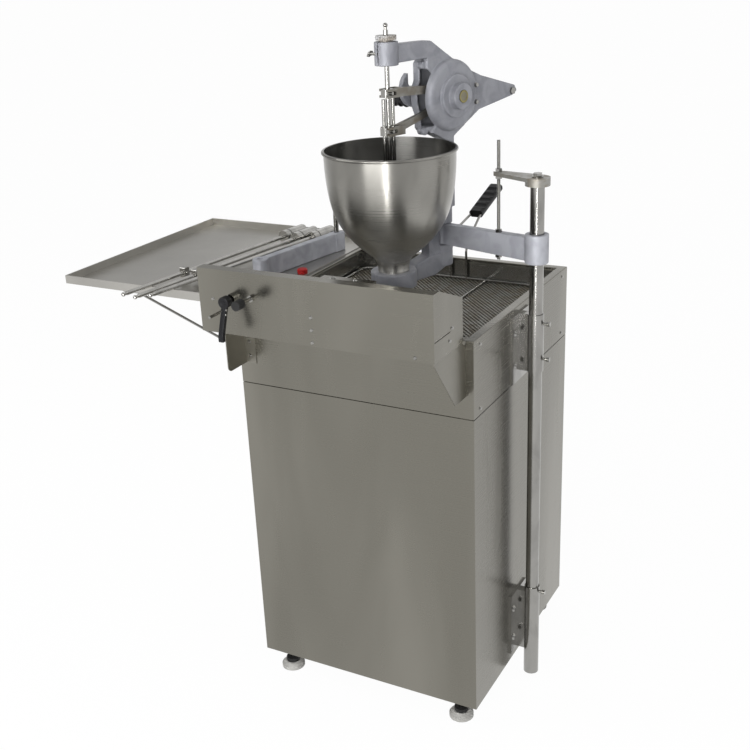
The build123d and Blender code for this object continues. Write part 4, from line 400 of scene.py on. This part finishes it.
def moulded(name, colour, roughness, grain_depth):
    """Moulded plastic or rubber with a fine leathery grain and paler rubbed spots."""
    finish = Finish(name, {"Metallic": 0.0, "Specular IOR Level": 0.2})
    grain = finish.noise(even(1100.0), 2.0)
    rubbed = finish.spread(finish.noise(even(55.0), 4.0, 0.5), 0.45, 0.78)
    paler = tuple(min(1.0, 1.4 * part + 0.003) for part in colour)
    finish.feed("Base Color", finish.tint(rubbed, colour, paler))
    finish.feed("Roughness", roughness + 0.12 * grain - 0.08 * rubbed)
    finish.relief(grain, grain_depth, 0.5)
    return finish.material


# Mesh building


def paint(names, material):
    """Gives CAD nodes a finish."""
    for name in names:
        NODES[name].data.materials.clear()
        NODES[name].data.materials.append(material)


def add_piece(name, mesh, material, node):
    """Adds a new piece that stands for a CAD node and rides on its body."""
    mesh.materials.clear()
    mesh.materials.append(material)
    piece = bpy.data.objects.new(name, mesh)
    bpy.context.scene.collection.objects.link(piece)
    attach(piece, BODY_OF[node])
    return piece


def rounded_copy(node, grid, passes, keep):
    """A mesh of a CAD node with its edges rounded, as casting and moulding leave them."""
    mesh = NODES[node].data.copy()
    shape = bmesh.new()
    shape.from_mesh(mesh)
    bmesh.ops.remove_doubles(shape, verts=shape.verts, dist=1e-6)
    shape.to_mesh(mesh)
    shape.free()
    holder = bpy.data.objects.new(node + "_holder", mesh)
    bpy.context.scene.collection.objects.link(holder)
    remesh = holder.modifiers.new("grid", "REMESH")
    remesh.mode = "VOXEL"
    remesh.voxel_size = grid
    remesh.use_smooth_shade = True
    smooth = holder.modifiers.new("round", "SMOOTH")
    smooth.factor = 0.5
    smooth.iterations = passes
    thin = holder.modifiers.new("thin", "DECIMATE")
    thin.ratio = keep
    bpy.context.view_layer.update()
    seen = holder.evaluated_get(bpy.context.evaluated_depsgraph_get())
    rounded = bpy.data.meshes.new_from_object(seen)
    bpy.data.objects.remove(holder)
    if len(rounded.polygons) == 0:
        raise RuntimeError(node + " came out empty")
    for face in rounded.polygons:
        face.use_smooth = True
    return rounded


def strand_mesh(low, high, pitch, strand):
    """Two layers of slanting flat strands that fill a rectangle, the lower ones narrower."""
    shape = bmesh.new()
    width = high.x - low.x
    depth = high.y - low.y
    step = pitch * math.sqrt(2.0)
    count = int((width + depth) / step)
    thick = (high.z - low.z) / 2
    for layer, lean, wide in ((0.5, -1.0, LOWER_STRAND_SHARE * strand), (1.5, 1.0, strand)):
        height = low.z + layer * thick
        for number in range(1, count + 1):
            reach = number * step
            first_x = max(0.0, reach - depth)
            last_x = min(width, reach)
            ends = [(x, reach - x) for x in (first_x, last_x)]
            if lean < 0:
                ends = [(x, depth - y) for x, y in ends]
            points = [Vector((low.x + x, low.y + y, height)) for x, y in ends]
            if (points[1] - points[0]).length > pitch:
                add_strand(shape, points[0], points[1], wide / 2, thick / 2)
    mesh = bpy.data.meshes.new("screen_strands")
    shape.to_mesh(mesh)
    shape.free()
    return mesh


def add_strand(shape, start, end, half_width, half_height):
    """A level flat bar between two points, with a ridge along its top."""
    along = (end - start).normalized()
    across = along.cross(Vector((0.0, 0.0, 1.0)))
    # The section's corners as shares of half the width and half the height
    corners = [(-1.0, -1.0), (1.0, -1.0), (1.0, 0.2), (0.0, 1.0), (-1.0, 0.2)]
    rings = []
    for point in (start, end):
        ring = []
        for side, lift in corners:
            offset = side * half_width * across + Vector((0.0, 0.0, lift * half_height))
            ring.append(shape.verts.new(point + offset))
        rings.append(ring)
    sides = len(corners)
    for number in range(sides):
        after = (number + 1) % sides
        shape.faces.new((rings[0][number], rings[0][after], rings[1][after], rings[1][number]))
    shape.faces.new(list(reversed(rings[0])))
    shape.faces.new(rings[1])


def thread_mesh(low, high, pitch, depth, sides=20):
    """A rod with one helical thread along Z."""
    radius = (high.x - low.x) / 2
    axis = Vector(((low.x + high.x) / 2, (low.y + high.y) / 2, 0.0))
    turns = int((high.z - low.z) / pitch) - 1
    shape = bmesh.new()

    def ring_point(number, reach, lift):
        angle = 2.0 * math.pi * number / sides
        height = low.z + pitch * number / sides + lift
        return shape.verts.new(axis + Vector((reach * math.cos(angle), reach * math.sin(angle), height)))

    steps = range(turns * sides + 1)
    crest_lift = 0.25 * pitch
    root_lift = 0.75 * pitch
    crest = [ring_point(number, radius, crest_lift) for number in steps]
    root = [ring_point(number, radius - depth, root_lift) for number in steps]
    for number in steps[:-1]:
        shape.faces.new((crest[number], crest[number + 1], root[number + 1], root[number]))
        above = number + sides
        if above + 1 < len(crest):
            shape.faces.new((root[number], root[number + 1], crest[above + 1], crest[above]))
    shape.faces.new(list(reversed(crest[:sides])))
    shape.faces.new(root[-sides:])
    bmesh.ops.recalc_face_normals(shape, faces=shape.faces)
    mesh = bpy.data.meshes.new("rod_thread")
    shape.to_mesh(mesh)
    shape.free()
    return mesh


def turned_pin(start, end, radius, sides=16):
    """A short pin with a domed end, for the lever's hub."""
    shape = bmesh.new()
    along = (end - start).normalized()
    across = along.orthogonal().normalized()
    other = along.cross(across)
    # Each ring's share of the length and of the radius
    profile = [(0.0, 1.0), (0.72, 1.0), (0.88, 0.86), (0.97, 0.55)]
    rings = []
    for share, size in profile:
        centre = start.lerp(end, share)
        ring = []
        for number in range(sides):
            angle = 2.0 * math.pi * number / sides
            offset = math.cos(angle) * across + math.sin(angle) * other
            ring.append(shape.verts.new(centre + radius * size * offset))
        rings.append(ring)
    for lower, upper in zip(rings, rings[1:]):
        for number in range(sides):
            after = (number + 1) % sides
            shape.faces.new((lower[number], lower[after], upper[after], upper[number]))
    shape.faces.new(list(reversed(rings[0])))
    tip = shape.verts.new(end)
    for number in range(sides):
        shape.faces.new((rings[-1][number], rings[-1][(number + 1) % sides], tip))
    mesh = bpy.data.meshes.new("lever_pin")
    shape.to_mesh(mesh)
    shape.free()
    for face in mesh.polygons:
        face.use_smooth = True
    return mesh


class FryerOperator:
    """What the operators share"""

    bl_options = {"REGISTER"}

    @property
    def sizes(self):
        return bpy.context.scene.fryer_sizes

    @property
    def colours(self):
        return bpy.context.scene.fryer_colours


class FRYER_OT_sheet_metal(FryerOperator, bpy.types.Operator):
    """Finish the folded sheet pieces"""

    bl_idname = "fryer.sheet_metal"
    bl_label = "Sheet metal"

    def execute(self, context):
        sheet = tuple(self.colours.sheet)
        tank = tuple(self.colours.tank)
        tray = tuple(self.colours.tray)
        paint(SHEET_NODES, satin_sheet("satin_sheet", sheet, self.colours.sheet_dark, 0.00012))
        # Painted light: the tank takes the paler copy of the sheet steel
        paint(("fry_tank",), satin_sheet("tank_sheet_painted_light", tank, scaled(tank, 0.7), 0.0002))
        # Painted light: the tray takes the paler copy of the sheet steel
        paint(("drain_tray",), satin_sheet("tray_sheet_painted_light", tray, scaled(tray, 0.85), 0.00012, 0.24))
        # Painted light: the gusset and its bracket get a copy of the sheet whose clouds are painted less
        # dark, against the dark they reflect under the guard; the copy is also duller
        gusset = satin_sheet("gusset_sheet_painted_light", sheet, scaled(sheet, 0.85), 0.00008, 0.26)
        paint(("guard_gusset", "guard_bracket"), gusset)
        low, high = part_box("hopper")
        shell = spun_steel("spun_hopper", self.colours.hopper, self.colours.hopper_inside, low, high)
        paint(("hopper",), shell)
        return {"FINISHED"}


class FRYER_OT_bright_metal(FryerOperator, bpy.types.Operator):
    """Finish the turned, drawn and plated metal"""

    bl_idname = "fryer.bright_metal"
    bl_label = "Bright metal"

    def execute(self, context):
        bright = tuple(self.colours.bright)
        paint(BRIGHT_NODES, bright_steel("bright_steel", bright, 0.12))
        paint(POST_NODES, bright_steel("drawn_post", bright, 0.16))
        # Painted highlight: the spare plungers get a copy of the bright steel painted 1.4 times paler,
        # standing in for the bright band of light along each rod
        paint(SPARE_NODES, bright_steel("spare_steel_painted_light", scaled(bright, 1.4), 0.14))
        paint(("portion_nut",), dull_steel("knurled_nut", tuple(self.colours.nut), 0.3, 0.1))
        paint(("upper_link", "lower_link"), dull_steel("link_steel", tuple(self.colours.link), 0.8))
        heated = dull_steel("dark_steel", tuple(self.colours.dark), 0.7)
        paint(("heating_element", "deposit_cylinder"), heated)
        paint(("shaft_bush",), bright_steel("brass_bush", tuple(self.colours.brass), 0.32))
        paint(("crank_shaft",), dull_steel("oiled_shaft", tuple(self.colours.oiled), 0.9))
        paint(("hanger_bracket",), dull_steel("hanger_steel", tuple(self.colours.hanger), 0.6))
        return {"FINISHED"}


class FRYER_OT_castings(FryerOperator, bpy.types.Operator):
    """Round the edges of the castings and give them a cast skin"""

    bl_idname = "fryer.castings"
    bl_label = "Castings"

    def execute(self, context):
        self.dress(HEAD_NODES, cast_metal("cast_skin", self.colours.cast, self.colours.cast_dark))
        # Painted light: the two arms take the paler copy of the cast finish
        self.dress(ARM_NODES, cast_metal("cast_arm_painted_light", self.colours.arm, self.colours.arm_dark))
        return {"FINISHED"}

    def dress(self, nodes, skin):
        """Puts rounded copies in the place of the castings' solids."""
        for node in nodes:
            mesh = rounded_copy(node, self.sizes.cast_grid, CAST_PASSES, CAST_FACES_KEPT)
            piece = add_piece(node + "_cast", mesh, skin, node)
            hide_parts(node)


class FRYER_OT_fry_screen(FryerOperator, bpy.types.Operator):
    """Lay the strands of the fry screen's mesh"""

    bl_idname = "fryer.fry_screen"
    bl_label = "Fry screen"

    def execute(self, context):
        low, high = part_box("screen_mesh")
        mesh = strand_mesh(low, high, self.sizes.mesh_pitch, self.sizes.mesh_strand)
        steel = dull_steel("strand_steel", tuple(self.colours.mesh), 0.85)
        piece = add_piece("screen_strands", mesh, steel, "screen_mesh")
        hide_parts("screen_mesh")
        return {"FINISHED"}


class FRYER_OT_threaded_rod(FryerOperator, bpy.types.Operator):
    """Cut the thread of the height rod"""

    bl_idname = "fryer.threaded_rod"
    bl_label = "Threaded rod"

    def execute(self, context):
        low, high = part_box("threaded_rod")
        mesh = thread_mesh(low, high, self.sizes.thread_pitch, self.sizes.thread_depth)
        plating = bright_steel("zinc_plate", tuple(self.colours.zinc), 0.26)
        piece = add_piece("rod_thread", mesh, plating, "threaded_rod")
        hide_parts("threaded_rod")
        return {"FINISHED"}


class FRYER_OT_moulded_pieces(FryerOperator, bpy.types.Operator):
    """Finish the plastic and rubber pieces, with two bright pins in the lever's hub"""

    bl_idname = "fryer.moulded_pieces"
    bl_label = "Moulded pieces"

    def execute(self, context):
        plastic = moulded("black_plastic", tuple(self.colours.plastic), 0.36, 0.00015)
        rubber = moulded("black_rubber", tuple(self.colours.rubber), 0.62, 0.0002)
        paint(("screen_grip", "crank_grip", "thermostat_knob", "cable_gland", "lever_shaft"), plastic)
        paint(("bumper_sleeve", "foot_rings"), rubber)
        paint(("foot_pads",), moulded("foot_pad_grey", tuple(self.colours.foot), 0.40, 0.00015))
        paint(("tray_knob",), moulded("red_knob", tuple(self.colours.red), 0.30, 0.0001))
        mesh = rounded_copy("front_lever", self.sizes.moulded_grid, MOULDED_PASSES, MOULDED_FACES_KEPT)
        lever = add_piece("lever_moulding", mesh, plastic, "front_lever")
        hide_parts("front_lever")
        self.add_pins()
        return {"FINISHED"}

    def add_pins(self):
        """Two bright pins in the lever's right side, under its hub."""
        low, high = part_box("lever_bush")
        axis = (low + high) / 2
        middle = sum(corner.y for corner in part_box("front_lever")) / 2
        steel = bright_steel("lever_pins", tuple(self.colours.bright), 0.12)
        for number, (lean, drop) in enumerate(PIN_PLACES):
            start = Vector((axis.x + PIN_START, middle + lean, axis.z - drop))
            end = start + Vector((PIN_LENGTH, 0.0, 0.0))
            mesh = turned_pin(start, end, self.sizes.lever_pin_radius)
            add_piece(f"lever_pin_{number + 1}", mesh, steel, "front_lever")


class FRYER_OT_stage(FryerOperator, bpy.types.Operator):
    """Add the floor, the soft lamps, the sky and the camera"""

    bl_idname = "fryer.stage"
    bl_label = "Stage"

    def execute(self, context):
        self.add_floor()
        self.add_sky()
        soft = (self.sizes.lamp_width, LAMP_DEPTH_SHARE * self.sizes.lamp_width)
        strip = (self.sizes.strip_width, self.sizes.strip_height)
        self.add_lamp("key_lamp", KEY_LAMP, soft)
        self.add_lamp("fill_lamp", FILL_LAMP, soft)
        self.add_lamp("front_lamp", FRONT_LAMP, soft)
        self.add_lamp("strip_lamp", STRIP_LAMP, strip)
        self.add_camera()
        context.scene.view_settings.view_transform = "Standard"
        return {"FINISHED"}

    def add_floor(self):
        """A wide pale floor that looks white to the camera and in reflections, and keeps the shadow."""
        mesh = bpy.data.meshes.new("floor")
        half = FLOOR_HALF
        corners = [(-half, -half, 0.0), (half, -half, 0.0), (half, half, 0.0), (-half, half, 0.0)]
        mesh.from_pydata(corners, [], [(0, 1, 2, 3)])
        floor = bpy.data.objects.new("floor", mesh)
        bpy.context.scene.collection.objects.link(floor)
        finish = Finish("pale_floor", {"Base Color": tuple(self.colours.floor) + (1.0,), "Roughness": 0.9})
        rays = finish.tree.nodes.new("ShaderNodeLightPath").outputs
        shown = Wire(finish, rays["Is Camera Ray"]) + Wire(finish, rays["Is Glossy Ray"])
        shown = shown + Wire(finish, rays["Is Transmission Ray"])
        glow = finish.node("ShaderNodeEmission", None, {"Color": (1.0, 1.0, 1.0, 1.0), "Strength": 1.0})
        plain = Wire(finish, finish.shader.outputs[0])
        mixed = finish.node("ShaderNodeMixShader", None, {0: FLOOR_GLOW * shown, 1: plain, 2: glow})
        finish.tree.links.new(mixed.socket, finish.tree.nodes["Material Output"].inputs["Surface"])
        mesh.materials.append(finish.material)

    def add_sky(self):
        """A white back, a darker left side and soft upright cards, which the steel reflects."""
        world = bpy.data.worlds.new("studio")
        world.use_nodes = True
        bpy.context.scene.world = world
        sky = Shading(world.node_tree, "Generated")
        direction = sky.node("ShaderNodeTexCoord", out="Generated")
        across = sky.node("ShaderNodeSeparateXYZ", None, {"Vector": direction}, "X")
        depth = sky.node("ShaderNodeSeparateXYZ", None, {"Vector": direction}, "Y")
        back = sky.spread(depth, -0.55, 0.25)
        left = sky.spread(across, -0.40, -0.90)
        cards = sky.spread(sky.noise((3.4, 3.4, 0.2), 1.0), 0.40, 0.60)
        front_to_back = SKY_FRONT + (1.0 - SKY_FRONT) * back
        card_light = SKY_GAP + (1.0 - SKY_GAP) * cards
        level = front_to_back * (1.0 - SKY_LEFT_LOSS * left) * card_light
        sky.join(world.node_tree.nodes["Background"].inputs["Color"], level)

    def add_lamp(self, name, lamp_setting, size):
        """A rectangular lamp that points at the middle of the machine."""
        place, watts = lamp_setting
        data = bpy.data.lights.new(name, "AREA")
        data.shape = "RECTANGLE"
        data.size, data.size_y = size
        data.energy = watts
        lamp = bpy.data.objects.new(name, data)
        lamp.location = place
        target = (CAD_BOX[0] + CAD_BOX[1]) / 2
        lamp.rotation_euler = (target - Vector(place)).to_track_quat("-Z", "Y").to_euler()
        bpy.context.scene.collection.objects.link(lamp)

    def add_camera(self):
        """The camera stands to the right of the front, above the hopper, and looks down a little."""
        place = Vector(CAMERA_PLACE)
        heading = math.radians(CAMERA_HEADING)
        pitch = math.radians(CAMERA_PITCH)
        roll = math.radians(CAMERA_ROLL)
        reach = math.cos(pitch)
        forward = Vector((-math.sin(heading) * reach, math.cos(heading) * reach, -math.sin(pitch)))
        level = Vector((math.cos(heading), math.sin(heading), 0.0))
        above = level.cross(forward)
        right = math.cos(roll) * level + math.sin(roll) * above
        up = math.cos(roll) * above - math.sin(roll) * level
        turn = Matrix((right, up, -forward)).transposed()
        data = bpy.data.cameras.new("camera")
        data.lens = CAMERA_LENS
        data.sensor_width = CAMERA_FILM
        camera = bpy.data.objects.new("camera", data)
        camera.matrix_world = Matrix.Translation(place) @ turn.to_4x4()
        bpy.context.scene.collection.objects.link(camera)
        bpy.context.scene.camera = camera


OPERATORS = (
    FRYER_OT_sheet_metal,
    FRYER_OT_bright_metal,
    FRYER_OT_castings,
    FRYER_OT_fry_screen,
    FRYER_OT_threaded_rod,
    FRYER_OT_moulded_pieces,
    FRYER_OT_stage,
)


class FRYER_PT_panel(bpy.types.Panel):
    """The fryer's pieces in the sidebar"""

    bl_idname = "FRYER_PT_panel"
    bl_label = "Donut fryer"
    bl_space_type = "VIEW_3D"
    bl_region_type = "UI"
    bl_category = "Fryer"

    def draw(self, context):
        for group in (context.scene.fryer_sizes, context.scene.fryer_colours):
            box = self.layout.box()
            for name in group.bl_rna.properties.keys():
                if name not in ("rna_type", "name"):
                    box.prop(group, name)
        for operator in OPERATORS:
            self.layout.operator(operator.bl_idname)


CLASSES = (FryerSizes, FryerColours) + OPERATORS + (FRYER_PT_panel,)


def register():
    for kind in CLASSES:
        bpy.utils.register_class(kind)
    bpy.types.Scene.fryer_sizes = bpy.props.PointerProperty(type=FryerSizes)
    bpy.types.Scene.fryer_colours = bpy.props.PointerProperty(type=FryerColours)


def unregister():
    del bpy.types.Scene.fryer_colours
    del bpy.types.Scene.fryer_sizes
    for kind in reversed(CLASSES):
        bpy.utils.unregister_class(kind)


def main():
    register()
    bpy.ops.fryer.sheet_metal()
    bpy.ops.fryer.bright_metal()
    bpy.ops.fryer.castings()
    bpy.ops.fryer.fry_screen()
    bpy.ops.fryer.threaded_rod()
    bpy.ops.fryer.moulded_pieces()
    bpy.ops.fryer.stage()


if __name__ == "__main__":
    main()
